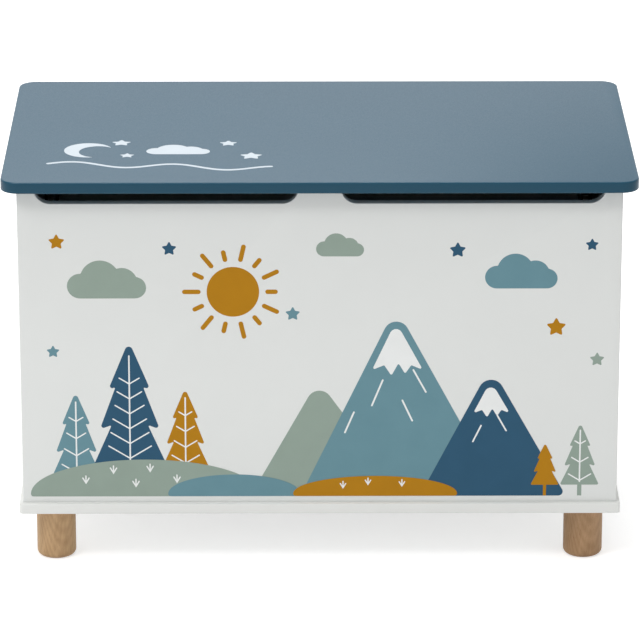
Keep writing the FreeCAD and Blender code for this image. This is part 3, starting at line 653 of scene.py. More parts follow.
@dataclass(frozen=True)
class OiledBeech(Finish):
    """Solid beech, turned and rubbed with clear oil, its grain upright.

    To the eye it is warm and nearly plain: growth rings cut by the turning run as soft arches
    in the middle and as narrow bands towards the sides, fibres as fine streaks, and the
    wood's rays as short darker flecks. The right-hand feet are drawn darker: partly a darker
    billet, partly painted shade for light that falls off towards the right. Fibres and
    flecks are drawn two or three times coarser than they are, so that they show.
    """

    fleck: str = "#8a6745"
    billet_and_shade: str = "#ffffff"
    ior: float = 1.45
    ring_mm: float = 3.4
    streak_mm: float = 9
    fibre_mm: float = 1.5
    ray_mm: float = 0.9
    ray_height_mm: float = 0.04
    billet_and_shade_mm: float = 100

    def looks(self, made: bpy.types.Material, place: bpy.types.NodeSocket) -> dict[str, Any]:
        """Add rings, fibres, rays, and the darker right-hand feet, which are partly painted shade.

        At scale 1 the Wave texture's bands lie pi/10 apart, hence the factor on its scale.

        Args:
            made: The material in the making.
            place: Its Object coordinates.

        Returns:
            What the shader's inputs take, by name.
        """
        across = add_node(made, "Mapping", {
            "Vector": place, "Rotation": (0.0, math.radians(27), math.radians(62))})
        rings = add_node(made, "TexWave", {
            "Vector": across, "Scale": per_metre(self.ring_mm) * math.pi / 10,
            "Distortion": 1.6, "Detail": 2.0, "Detail Scale": 0.35, "Detail Roughness": 0.45},
            bands_direction="X")
        streaks, fibres, rays = (add_node(made, "TexNoise", {
            "Vector": add_node(made, "Mapping", {
                "Vector": place, "Rotation": (0.0, math.radians(lean), 0.0),
                "Scale": (1.0, 1.0, length)}, vector_type="TEXTURE"),
            "Scale": per_metre(spacing), "Detail": detail, "Roughness": 0.55})
            for lean, length, spacing, detail in (
                (11, 5, self.streak_mm, 2.0), (7, 13, self.fibre_mm, 3.0),
                (5, 4.5, self.ray_mm, 2.0)))
        ringed = add_node(made, "Math", {0: rings.outputs["Fac"], 1: 0.20, 2: streaks},
                          operation="MULTIPLY_ADD")
        grained = add_node(made, "Math", {0: fibres, 1: 0.55, 2: ringed},
                           operation="MULTIPLY_ADD")
        share = add_node(made, "MapRange", {
            "Value": grained, "From Min": 0.50, "From Max": 1.25})
        wood = add_node(made, "Mix", {
            0: share, 6: to_linear(self.colour), 7: to_linear(self.shade)}, data_type="RGBA")
        flecks = add_node(made, "MapRange", {
            "Value": rays, "From Min": 0.60, "From Max": 0.72, "To Max": 0.45})
        flecked = add_node(made, "Mix", {
            0: flecks, 6: wood, 7: to_linear(self.fleck)}, data_type="RGBA")
        # Feet right of the middle are multiplied by a darker tint: partly a darker billet, partly
        # painted shade.
        side = add_node(made, "SeparateXYZ", {"Vector": place})
        billet_and_shade = add_node(made, "MapRange", {
            "Value": side, "From Min": -self.billet_and_shade_mm * MM, "From Max": self.billet_and_shade_mm * MM})
        colour = add_node(made, "Mix", {
            0: billet_and_shade, 6: flecked, 7: to_linear(self.billet_and_shade)}, data_type="RGBA",
            blend_type="MULTIPLY")
        rough = add_node(made, "MapRange", {
            "Value": fibres, "To Min": self.roughness - 0.08, "To Max": self.roughness + 0.08})
        bump = add_node(made, "Bump", {
            "Strength": 0.6, "Distance": self.ray_height_mm * MM, "Height": rays})
        return {"Base Color": colour, "Roughness": rough, "IOR": self.ior, "Normal": bump}


@dataclass(frozen=True)
class PlatedSteel(Finish):
    """Pressed or drawn steel with a thin electroplated coat, or bare die-cast zinc.

    To the eye it is bright and slightly uneven: the coat follows the scratches that rolling
    left in the sheet, and blooms in faint cloudy patches. The scratches are drawn coarser
    than they are, because real ones are too fine to show.
    """

    scratch_mm: float = 0.35
    scratch_depth_mm: float = 0.02
    bloom_mm: float = 7

    def looks(self, made: bpy.types.Material, place: bpy.types.NodeSocket) -> dict[str, Any]:
        """Add scratches along X and bloom.

        Args:
            made: The material in the making.
            place: Its Object coordinates.

        Returns:
            What the shader's inputs take, by name.
        """
        along = add_node(made, "Mapping", {"Vector": place, "Scale": (0.05, 1.0, 1.0)})
        scratch = add_node(made, "TexNoise", {
            "Vector": along, "Scale": per_metre(self.scratch_mm), "Detail": 3.0})
        bloom = add_node(made, "TexNoise", {
            "Vector": place, "Scale": per_metre(self.bloom_mm), "Detail": 4.0,
            "Roughness": 0.6})
        colour = add_node(made, "Mix", {
            0: bloom, 6: to_linear(self.colour), 7: to_linear(self.shade)}, data_type="RGBA")
        rough = add_node(made, "MapRange", {
            "Value": bloom, "From Min": 0.3, "From Max": 0.7,
            "To Min": self.roughness - 0.06, "To Max": self.roughness + 0.08})
        bump = add_node(made, "Bump", {
            "Strength": 0.35, "Distance": self.scratch_depth_mm * MM, "Height": scratch})
        return {"Base Color": colour, "Metallic": 1.0, "Roughness": rough, "Normal": bump}


@dataclass(frozen=True)
class PowderCoat(Finish):
    """Polyester powder baked on pressed steel.

    To the eye it is a dull skin, pebbled where the grains melted together. The pebbles are
    drawn about twice as coarse as they are, so that they show.
    """

    ior: float = 1.5
    pebble_mm: float = 0.8
    pebble_height_mm: float = 0.03
    patch_mm: float = 12

    def looks(self, made: bpy.types.Material, place: bpy.types.NodeSocket) -> dict[str, Any]:
        """Add pebbles and broad patches.

        Args:
            made: The material in the making.
            place: Its Object coordinates.

        Returns:
            What the shader's inputs take, by name.
        """
        pebble = add_node(made, "TexVoronoi", {
            "Vector": place, "Scale": per_metre(self.pebble_mm), "Smoothness": 0.6},
            feature="SMOOTH_F1")
        patch = add_node(made, "TexNoise", {
            "Vector": place, "Scale": per_metre(self.patch_mm), "Detail": 3.0})
        colour = add_node(made, "Mix", {
            0: patch, 6: to_linear(self.colour), 7: to_linear(self.shade)}, data_type="RGBA")
        bump = add_node(made, "Bump", {
            "Strength": 0.5, "Distance": self.pebble_height_mm * MM, "Height": pebble})
        return {"Base Color": colour, "Roughness": self.roughness, "IOR": self.ior,
                "Normal": bump}


@dataclass(frozen=True)
class MouldedPlastic(Finish):
    """Nylon or a soft elastomer, injection moulded in a spark-eroded mould.

    To the eye it is plain and half matt, with the mould's fine even grain. The grain is drawn
    coarser than it is, because the real one is too fine to show.
    """

    ior: float = 1.5
    grain_mm: float = 0.5
    grain_height_mm: float = 0.03

    def looks(self, made: bpy.types.Material, place: bpy.types.NodeSocket) -> dict[str, Any]:
        """Add the mould's grain.

        Args:
            made: The material in the making.
            place: Its Object coordinates.

        Returns:
            What the shader's inputs take, by name.
        """
        grain = add_node(made, "TexNoise", {
            "Vector": place, "Scale": per_metre(self.grain_mm), "Detail": 2.0})
        colour = add_node(made, "Mix", {
            0: grain, 6: to_linear(self.colour), 7: to_linear(self.shade)}, data_type="RGBA")
        bump = add_node(made, "Bump", {
            "Strength": 0.6, "Distance": self.grain_height_mm * MM, "Height": grain})
        return {"Base Color": colour, "Roughness": self.roughness, "IOR": self.ior,
                "Normal": bump}


class Ink(Enum):
    """The inks of the printed scene: colour and thicker shade."""

    TEAL = ("#688f9a", "#648b96")
    NAVY = ("#2a546f", "#27506a")
    MUSTARD = ("#b37c02", "#ad7701")
    SAGE = ("#93a398", "#8f9f94")
    WHITE = ("#eceeed", "#e8eae9")
    PALE = ("#bbc4cb", "#b7c0c7")


class Finishes:
    """All the chest's materials, built once."""

    def __init__(self) -> None:
        """Build the materials.

        The lid's lacquer has a flatting agent in it and reflects less than clear resin, hence
        its lower IOR. The floor board takes a lighter copy of the panels' white: painted light
        on its lip and face.
        """
        self.lid = SprayedLacquer(
            "sprayed_lacquer_dark_blue", "#13455a", "#114257", 0.34, 1.33).material()
        self.panel = SprayedLacquer(
            "sprayed_lacquer_white", "#dfe1df", "#dcdedc", 0.42).material()
        # A lighter copy of the panels' white for the floor board: painted light.
        self.painted_light_white = SprayedLacquer(
            "sprayed_lacquer_white_painted_light", "#e4e5e2", "#e1e2df", 0.42).material()
        # The beech's darker tint on the right-hand feet is partly painted shade.
        self.beech = OiledBeech(
            "turned_beech_oiled", "#cdaa80", "#a9865e", 0.56, billet_and_shade="#e5dfde").material()
        self.dowel = OiledBeech(
            "raw_beech_dowel", "#d2b48f", "#b99872", 0.56, fleck="#9a7652").material()
        self.zinc = PlatedSteel("zinc_plated_steel", "#c9cccf", "#b4b8bb", 0.34).material()
        self.diecast = PlatedSteel("die_cast_zinc", "#a9acae", "#96999b", 0.46).material()
        self.nickel = PlatedSteel(
            "nickel_plated_steel_sheet", "#b7b4af", "#a5a29d", 0.3).material()
        self.powder = PowderCoat(
            "black_powder_coated_steel", "#1d1e20", "#232427", 0.5).material()
        self.nylon = MouldedPlastic(
            "moulded_black_nylon", "#1b1c1e", "#222326", 0.5).material()
        self.rubber = MouldedPlastic(
            "moulded_grey_elastomer", "#9da1a2", "#8d9192", 0.55).material()
        self.inks = {
            ink: PrintedInk(f"screen_ink_{ink.name.lower()}", *ink.value, 0.55).material()
            for ink in Ink}


# Fasteners


@dataclass(frozen=True)
class Screw:
    """A countersunk screw: head radius and height, shank radius and whole length."""

    head: float
    height: float
    shank: float
    length: float

    def surface(self, facing: Facing, place: Place) -> Surface:
        """Turn the screw with a cross recess in its head.

        Args:
            facing: The way the head looks.
            place: The middle of the head's face.

        Returns:
            The closed screw.
        """
        face = self.head * np.array([
            (0.04, 0), (0.2, 0), (0.36, 0), (0.52, 0), (0.68, 0), (0.84, -0.01), (0.95, -0.04),
            (1.0, -0.12)])
        shank = [(self.shank, -self.height), (self.shank, 1.5 * self.shank - self.length),
                 (0.3 * self.shank, -self.length)]
        relief = cross_recess(0.16 * self.head, 0.72 * self.head, 0.6 * self.height)
        return turned(np.concatenate([face, shank]), facing, place, segments=32, relief=relief,
                      face_rows=len(face))


@dataclass(frozen=True)
class Rivet:
    """A rivet with a low domed head at one end or at both, and its length over all."""

    shank: float
    head: float
    dome: float
    length: float
    far_head: bool = True

    def surface(self, facing: Facing, place: Place) -> Surface:
        """Turn the rivet; an end without a head is chamfered.

        Args:
            facing: The way the near head looks.
            place: The near head's crown.

        Returns:
            The closed rivet.
        """
        near = dome(self.head, self.dome)
        far = near[::-1] * (1, -1) - (0, self.length)
        shank_end = self.dome - self.length
        if not self.far_head:
            chamfer = 0.1
            far = [(0.98 * self.shank, -self.length)]
            shank_end = chamfer - self.length
        shank = [(self.shank, -self.dome), (self.shank, shank_end)]
        return turned(np.concatenate([near, shank, far]), facing, place, segments=32)


# The chest


def dress(material: bpy.types.Material, nodes: Sequence[str]) -> None:
    """Give solids that are shown as they are their finish.

    Args:
        material: The finish.
        nodes: The solids.
    """
    for node in nodes:
        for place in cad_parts[node].material_slots:
            place.material = material
        LOG.info("%s: %s", node, material.name)


def pairs(*names: str) -> list[str]:
    """Return the left-hand and right-hand nodes of paired pieces."""
    return [f"{name}_{side}" for name in names for side in ("left", "right")]


@dataclass
class Assembly:
    """A sub-assembly, which keeps what it has made in order."""

    finishes: Finishes
    made: list[bpy.types.Object] = field(default_factory=list)

    def piece(self, name: str, surface: Surface, material: bpy.types.Material, body: str,
              slot: str | None, node: str | None = None) -> None:
        """Make an object of a surface and tie it to the frame.

        Args:
            name: The piece's name.
            surface: Its mesh, in millimetres.
            material: Its finish.
            body: The body it rides on.
            slot: The record's material slot, or None for a print on the panel; not used.
            node: The solid that it stands for, if it does.
        """
        mesh = bpy.data.meshes.new(name)
        mesh.from_pydata((surface.points * MM).tolist(), [], surface.faces)
        smooth = np.ones(len(surface.faces), dtype=bool)
        if surface.flat:
            smooth[-surface.flat:] = False
        mesh.polygons.foreach_set("use_smooth", smooth)
        mesh.materials.append(material)
        mesh.update()
        mesh.set_sharp_from_angle(angle=CREASE)
        piece = bpy.data.objects.new(name, mesh)
        bpy.context.scene.collection.objects.link(piece)
        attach(piece, body)
        if node:
            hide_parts(node)
        self.made.append(piece)


@dataclass
class Lid(Assembly):
    """The lid board with its printed sky."""

    corner: float = 20.0
    edges: Point = (1.8, 1.5)
    film_room: float = 0.2
    film_height: float = 0.12
    wave_start: Point = (-300, -128)
    wave_run: Point = (246, -20)
    wave_height: float = 8.5
    wave_turns: float = 2.2
    wave_width: float = 5.0
    moon: tuple[Point, float, float] = ((-258, -78), 27, -28)
    sky_cloud: tuple[Point, float] = ((-158, -84), 78)
    stars: tuple[tuple[Point, float], ...] = (
        ((-222, -50), 12), ((-214, -98), 9), ((-102, -52), 11), ((-76, -100), 14))

    def build(self) -> None:
        """Make the board, and print moon, stars and a cloud over a wave near its left corner.

        The wave is start + run s + (0, height sin(360 degrees * turns s)) for s from 0 to 1.
        """
        surface = board("lid_panel", Facing.TOP, self.edges, steps=7, corner=self.corner,
                        corner_steps=25, room=self.film_room)
        self.piece("lid_board", surface, self.finishes.lid, "lid", "blue_lacquer", "lid_panel")
        share = np.linspace(0, 1, 72)[:, None]
        swing = np.sin(2 * math.pi * self.wave_turns * share)
        wave = self.wave_start + self.wave_run * share + (0, self.wave_height) * swing
        outlines = [stroke(wave, self.wave_width), crescent(*self.moon), cloud(*self.sky_cloud)]
        outlines += [star(place, size) for place, size in self.stars]
        face = (0, 0, span("lid_panel")[1][2] - self.film_room)
        films = [film(outline, Facing.TOP, face, self.film_height) for outline in outlines]
        self.piece("lid_print", gather(films), self.finishes.inks[Ink.PALE], "lid",
                   "blue_lacquer")


@dataclass
class Carcass(Assembly):
    """The white box: front panel with finger notches, sides, back, floor board and bumpers."""

    edge: float = 1.5
    soft_edge: float = 0.7
    foot_edge: float = 0.35
    foot_rise: float = 3.0
    notch_depth: float = 15.0
    notch_corner: float = 18.0
    notch_ends: Point = (23.2, 314.2)
    lip_edge: float = 1.2
    base_corner: float = 4.0
    bumper_radius: float = 4.0
    bumper_height: float = 1.5
    bumper_root: float = 0.2
    bumper_places: tuple[Point, ...] = ((0, -176), (-327, -146), (327, -146))

    def white(self, name: str, surface: Surface, node: str) -> None:
        """Make one white board in place of its solid."""
        self.piece(name, surface, self.finishes.panel, "carcass", "white_lacquer", node)

    def front(self) -> None:
        """Make the front panel, whose top edge dips in two long notches with round corners.

        Its sides are rounded off, and its foot stands sharp on the floor board. A notch's end
        is m + R (cos t, sin t) from the top edge to the notch's floor, with the middle m
        above the floor by R.
        """
        low, high = span("front_panel")
        level = high[2] - self.notch_depth + self.notch_corner
        lift = math.asin((high[2] - level) / self.notch_corner)
        end = arc(np.linspace(lift, -math.pi / 2, 14), self.notch_corner)
        near, far = self.notch_ends
        notch = np.concatenate([end + (far - self.notch_corner, level),
                                (end * (-1, 1))[::-1] + (near + self.notch_corner, level)])
        foot = box_outline(low[0], high[0], low[2], low[2] + self.foot_rise)[[3, 0, 1, 2]]
        rim = np.concatenate([[(high[0], high[2])], notch, (notch * (-1, 1))[::-1],
                              [(low[0], high[2])]])
        # Points 0, 3, 4 and the last lie on the upright sides, 1 and 2 are the foot's corners.
        edges = np.full(len(foot) + len(rim), self.soft_edge)
        edges[[0, 3, 4, -1]] = self.edge
        edges[[1, 2]] = self.foot_edge
        surface = slab(np.concatenate([foot, rim]), Facing.FRONT, (0, low[1], 0),
                       high[1] - low[1], edges, self.soft_edge, steps=6)
        self.white("front_board", surface, "front_panel")

    def build(self) -> None:
        """Build the front, the other boards and the bumpers, which are low domes."""
        self.front()
        soft = (self.soft_edge, self.soft_edge)
        side = board("side_panel_right", Facing.RIGHT, soft)
        self.white("side_board_right", side, "side_panel_right")
        self.white("side_board_left", mirror(side), "side_panel_left")
        self.white("back_board", board("back_panel", Facing.BACK, soft), "back_panel")
        floor = board("base_panel", Facing.TOP, (self.lip_edge, self.soft_edge), steps=6,
                      corner=self.base_corner, corner_steps=8)
        # The floor board takes the lighter white: painted light on its lip and face.
        self.piece("floor_board", floor, self.finishes.painted_light_white, "carcass", "white_lacquer",
                   "base_panel")
        crown = span("front_panel")[1][2] + self.bumper_height
        root = (self.bumper_radius, -self.bumper_height - self.bumper_root)
        profile = np.concatenate([dome(self.bumper_radius, self.bumper_height), [root]])
        domes = [turned(profile, Facing.TOP, (x, y, crown), segments=32)
                 for x, y in self.bumper_places]
        self.piece("bumpers", gather(domes), self.finishes.rubber, "carcass", "clear_rubber",
                   "lid_bumpers")


@dataclass
class Feet(Assembly):
    """Four turned beech feet with a well rounded lower edge."""

    radius: float = 22.0
    rounding: float = 6.0
    top_chamfer: float = 0.4
    sole: tuple[Point, ...] = ((0.5, 0), (6, 0), (12, 0))

    def build(self) -> None:
        """Turn the feet: the lower edge follows r = R - q(1 - sin t), h = -q(1 - cos t)."""
        turn = np.linspace(0, math.pi / 2, 9)
        edge = np.stack([self.radius - self.rounding * (1 - np.sin(turn)),
                         -self.rounding * (1 - np.cos(turn))], axis=1)
        for node in FEET:
            x, y, _ = centre(node)
            height = span(node)[1][2]
            top = [(self.radius, -20), (self.radius, -40),
                   (self.radius, self.top_chamfer - height),
                   (self.radius - self.top_chamfer, -height)]
            surface = turned(np.concatenate([self.sole, edge, top]), Facing.UNDER, (x, y, 0),
                             segments=96)
            self.piece(node.replace("foot", "beech_foot"), surface, self.finishes.beech,
                       "carcass", "oiled_beech", node)


@dataclass
class FrontPrint(Assembly):
    """The printed scene: mountains, firs, hills, sun, clouds and stars in flat inks.

    Each motif is a film laid on the panel; a later layer lies on the earlier ones. Places are
    (x, z), x from the chest's middle and z from the panel's foot.
    """

    film_height: float = 0.06
    ground: float = 7.0
    mountain_radii: Place = (5, 5, 14)
    cap_drop: float = 17.0
    cap_inset: float = 9.0
    cap_teeth: tuple[Point, ...] = (
        (0.24, 0.10), (0.38, -0.12), (0.52, 0.14), (0.65, -0.08), (0.77, 0.10))
    cap_radii: Place = (7, 1.4, 1.2, 1.4, 1.2, 1.4, 1.2, 1.4)
    tiers: tuple[Point, ...] = (
        (1.0, 0.0), (0.48, 0.335), (0.80, 0.30), (0.36, 0.64), (0.58, 0.60))
    tier_radii: Place = (0.035, 0.012, 0.030, 0.012, 0.030)
    top_radius: float = 0.050
    trunk: float = 13.0
    trunk_share: float = 0.055
    stem_width: float = 1.7
    vein_width: float = 1.5
    ray_width: float = 5.2
    motifs: dict[Ink, list[tuple[float, Array]]] = field(default_factory=dict)

    def add(self, ink: Ink, layer: float, *outlines: Array) -> None:
        """Lay outlines down in an ink on a layer."""
        self.motifs.setdefault(ink, []).extend((layer, outline) for outline in outlines)

    def mountain(self, ink: Ink, layer: int, left: float, peak: Point, right: float,
                 snow: float) -> None:
        """Lay down a mountain with a round peak and a white cap that ends in a zigzag.

        The cap is the mountain's outline drawn in by a rim, cut at a share of the height. Its
        teeth are placed in shares of the cut's width.

        Args:
            ink: The mountain's ink.
            layer: Its layer; the cap lies on the next.
            left: Left end of the foot.
            peak: The peak before rounding.
            right: Right end of the foot.
            snow: The cap's share of the height, or 0 for none.
        """
        top = np.array(peak)
        ends = np.array([(left, self.ground), (right, self.ground)])
        self.add(ink, layer, rounded(np.vstack([ends, top]), self.mountain_radii, 10))
        if not snow:
            return
        inset = [(self.cap_inset, 0), (-self.cap_inset, 0)]
        low_left, low_right = top + snow * (ends - top) + inset
        teeth = low_left + (low_right - low_left)[0] * np.array(self.cap_teeth)
        corners = np.vstack([top - (0, self.cap_drop), low_left, teeth, low_right])
        self.add(Ink.WHITE, layer + 1, rounded(corners, self.cap_radii))

    def fir(self, ink: Ink, layer: int, middle: float, foot: float, height: float,
            width: float, veins: int) -> None:
        """Lay down a fir of three tiers with a trunk, and white veins on it.

        The tiers' corners are shares of the half width and of the height. The veins leave the
        stem from 7 to 66 percent of the height and grow shorter upwards.

        Args:
            ink: The fir's ink.
            layer: Its layer; the veins lie on the next.
            middle: Where its trunk stands.
            foot: The trunk's lower end.
            height: Height of the crown.
            width: Width of the lowest tier.
            veins: Pairs of branch lines.
        """
        base = foot + self.trunk
        right = (width / 2, height) * np.array(self.tiers) + (0, base)
        crown = np.vstack([right, (0, base + height), (right * (-1, 1))[::-1]]) + (middle, 0)
        radii = (*self.tier_radii, self.top_radius, *self.tier_radii[::-1])
        self.add(ink, layer, rounded(crown, width * np.array(radii)))
        trunk = self.trunk_share * width
        self.add(ink, layer - 0.5, box_outline(middle - trunk, middle + trunk, foot, base + 2))
        if not veins:
            return
        stem = [(middle, base + 4), (middle, base + 0.88 * height)]
        self.add(Ink.WHITE, layer + 2, stroke(stem, self.stem_width))
        for share in np.linspace(0.07, 0.66, veins):
            reach = width * 0.30 * (1 - 0.85 * share)
            twigs = (middle, base + share * height) + reach * np.array([
                (-1, 0.62), (0, 0), (1, 0.62)])
            self.add(Ink.WHITE, layer + 1, stroke(twigs, self.vein_width))

    def grass(self, layer: int, reach: float, lift: float, height: float, width: float,
              roots: Sequence[Point]) -> None:
        """Lay down white tufts of two leaning blades and an upright one.

        Args:
            layer: The layer of the leaning blades; the upright ones lie on the next.
            reach: How far the leaning blades reach to the sides.
            lift: How high they reach.
            height: How high the upright blade reaches.
            width: Their width.
            roots: Where the tufts stand.
        """
        for x, z in roots:
            leaning = [(x - reach, z + lift), (x, z), (x + reach, z + lift)]
            self.add(Ink.WHITE, layer, stroke(leaning, width))
            self.add(Ink.WHITE, layer + 1, stroke([(x, z), (x, z + height)], width))

    def sun(self, place: Point, radius: float, rays: int) -> None:
        """Lay down a round sun with rays of two lengths.

        Args:
            place: Its middle.
            radius: Its radius.
            rays: How many rays it has.
        """
        middle = np.array(place)
        self.add(Ink.MUSTARD, 1, middle + arc(np.arange(96) * (2 * math.pi / 96), radius))
        for number, way in enumerate(arc(np.arange(rays) * (2 * math.pi / rays))):
            ends = radius * np.array([(1.32,), (1.85 if number % 2 else 1.62,)]) * way
            self.add(Ink.MUSTARD, 1, stroke(middle + ends, self.ray_width))

    def draw(self) -> None:
        """Lay down the whole scene from the back to the front."""
        self.mountain(Ink.SAGE, 1, -78, (-2, 145), 96, 0.0)
        self.mountain(Ink.TEAL, 2, -22, (84, 231), 204, 0.33)
        self.mountain(Ink.NAVY, 4, 112, (190, 161), 276, 0.36)
        for layer, width, lines in (
                (3, 2.0, (((104, 157), (118, 131)), ((70, 145), (58, 115)),
                          ((92, 121), (103, 97)), ((38, 107), (28, 83)))),
                (5, 1.8, (((198, 103), (208, 85)), ((180, 91), (171, 72))))):
            self.add(Ink.WHITE, layer, *(stroke(line, width) for line in lines))
        self.fir(Ink.NAVY, 1, -212, 29, 150, 84, 6)
        self.fir(Ink.TEAL, 1, -272, 15, 104, 58, 4)
        self.fir(Ink.MUSTARD, 1, -150, 27, 96, 54, 4)
        self.fir(Ink.SAGE, 1, 291, self.ground, 74, 44, 3)
        self.fir(Ink.MUSTARD, 6, 252, self.ground, 50, 32, 0)
        self.add(Ink.SAGE, 4, hill((-196, self.ground), 128, 44))
        self.add(Ink.TEAL, 5, hill((-96, self.ground), 74, 26))
        self.add(Ink.MUSTARD, 7, hill((62, self.ground), 92, 24))
        self.grass(5, 3.5, 6, 8.5, 1.5, ((-262, 23), (-231, 35), (-190, 37), (-206, 19),
                                         (-160, 24)))
        self.grass(8, 3, 5, 7.5, 1.4, ((26, 17), (54, 21), (92, 19)))
        self.sun((-96, 249), 29, 14)
        for motif, ink, place, size in (
                (cloud, Ink.SAGE, (-236, 253), 96), (cloud, Ink.TEAL, (222, 263), 88),
                (cloud, Ink.SAGE, (22, 297), 58), (star, Ink.NAVY, (-166, 299), 9),
                (star, Ink.MUSTARD, (-290, 307), 10), (star, Ink.TEAL, (-30, 223), 9),
                (star, Ink.MUSTARD, (262, 207), 12), (star, Ink.NAVY, (152, 297), 10),
                (star, Ink.NAVY, (300, 303), 8), (star, Ink.TEAL, (-296, 179), 8),
                (star, Ink.SAGE, (308, 169), 9)):
            self.add(ink, 1, motif(place, size))

    def build(self) -> None:
        """Draw the scene and make one piece of each ink."""
        self.draw()
        _, front, foot = span("front_panel")[0]
        for ink, laid in self.motifs.items():
            films = [film(outline, Facing.FRONT, (0, front, foot), self.film_height * layer)
                     for layer, outline in laid]
            self.piece(f"print_{ink.name.lower()}", gather(films), self.finishes.inks[ink],
                       "carcass", None)


@dataclass
class Fastenings(Assembly):
    """Screws, cam locks, tee nuts and what hides in the boards."""

    screw: Screw = Screw(4, 2.4, 2, 38)
    screw_sunk: float = 0.1
    screw_grids: tuple[tuple[Place, Place], ...] = (((-200, 0, 200), (-176, 188)),
                                                    ((-327, 327), (-104, 116)))
    cam_proud: float = 0.35
    cam_side_y: float = -146
    cam_back_x: float = 297
    cam_slot: tuple[float, float, float] = (0.9, 5.4, 0.9)
    cam_profile: tuple[Point, ...] = (
        (0.1, 0), (1, 0), (2, 0), (3, 0), (4, 0), (5, 0), (6, 0), (6.9, 0), (7.5, -0.35),
        (7.5, -9.3))
    nut_proud: float = 0.8
    nut_profile: tuple[Point, ...] = (
        (0.1, -0.7), (3.9, -0.7), (4.05, -0.55), (4.05, -0.1), (4.3, 0), (6, 0), (9.2, 0),
        (9.8, -0.2), (10, -0.6), (10, -2), (5.2, -2.2), (5.2, -12.8))

    def floor_screws(self) -> None:
        """Make the screws that come up through the floor board."""
        face = span("floor_screws")[0][2] - self.screw_sunk
        screws = [self.screw.surface(Facing.UNDER, (x, y, face))
                  for columns, rows in self.screw_grids for x in columns for y in rows]
        self.piece("floor_screw_heads", gather(screws), self.finishes.zinc, "carcass",
                   "zinc_steel", "floor_screws")

    def cam_locks(self) -> None:
        """Make the cam locks: discs with a chamfered rim and a cross slot."""
        profile = np.array(self.cam_profile)
        relief = cross_recess(*self.cam_slot)
        face_rows = np.count_nonzero(profile[:, 1] == 0)
        radius = profile[-1, 0]
        low, high = span("cam_locks")
        side_wall = span("side_panel_right")[0][0] - self.cam_proud
        back_wall = span("back_panel")[0][1] - self.cam_proud
        cams = [turned(profile, facing, place, relief=relief, face_rows=face_rows)
                for z in (low[2] + radius, high[2] - radius)
                for side, inner in ((1, Facing.LEFT), (-1, Facing.RIGHT))
                for facing, place in ((inner, (side * side_wall, self.cam_side_y, z)),
                                      (Facing.FRONT, (side * self.cam_back_x, back_wall, z)))]
        self.piece("cam_lock_faces", gather(cams), self.finishes.diecast, "carcass",
                   "zinc_diecast", "cam_locks")

    def tee_nuts(self) -> None:
        """Make the tee nuts: a flange with a rolled rim round the threaded hole."""
        face = span("foot_tee_nuts")[1][2] + self.nut_proud
        nuts = [turned(np.array(self.nut_profile), Facing.TOP, (*centre(foot)[:2], face))
                for foot in FEET]
        self.piece("tee_nut_flanges", gather(nuts), self.finishes.zinc, "carcass",
                   "zinc_steel", "foot_tee_nuts")

    def build(self) -> None:
        """Build the fastenings and dress those that hide in the boards."""
        dress(self.finishes.zinc, ("cam_bolts", "foot_hanger_bolts"))
        dress(self.finishes.dowel, ("corner_dowels",))
        self.floor_screws()
        self.cam_locks()
        self.tee_nuts()


@dataclass
class Hinges(Assembly):
    """Two butt hinges with their screws."""

    screw: Screw = Screw(2.9, 1.3, 1.5, 9)
    places: tuple[float, ...] = (-230, -210, -190, 190, 210, 230)

    def build(self) -> None:
        """Dress the leaves and pins and build the screws."""
        nickel = self.finishes.nickel
        dress(nickel, pairs("hinge_body_leaf", "hinge_lid_leaf", "hinge_pin"))
        body, lid = centre("hinge_body_screws"), centre("hinge_lid_screws")
        outer, lower = span("hinge_body_screws")[1][1], span("hinge_lid_screws")[0][2]
        rear = [self.screw.surface(Facing.BACK, (x, outer, body[2])) for x in self.places]
        under = [self.screw.surface(Facing.UNDER, (x, lid[1], lower)) for x in self.places]
        self.piece("hinge_screws_back", gather(rear), nickel, "carcass", "nickel_steel",
                   "hinge_body_screws")
        self.piece("hinge_screws_lid", gather(under), nickel, "lid", "nickel_steel",
                   "hinge_lid_screws")


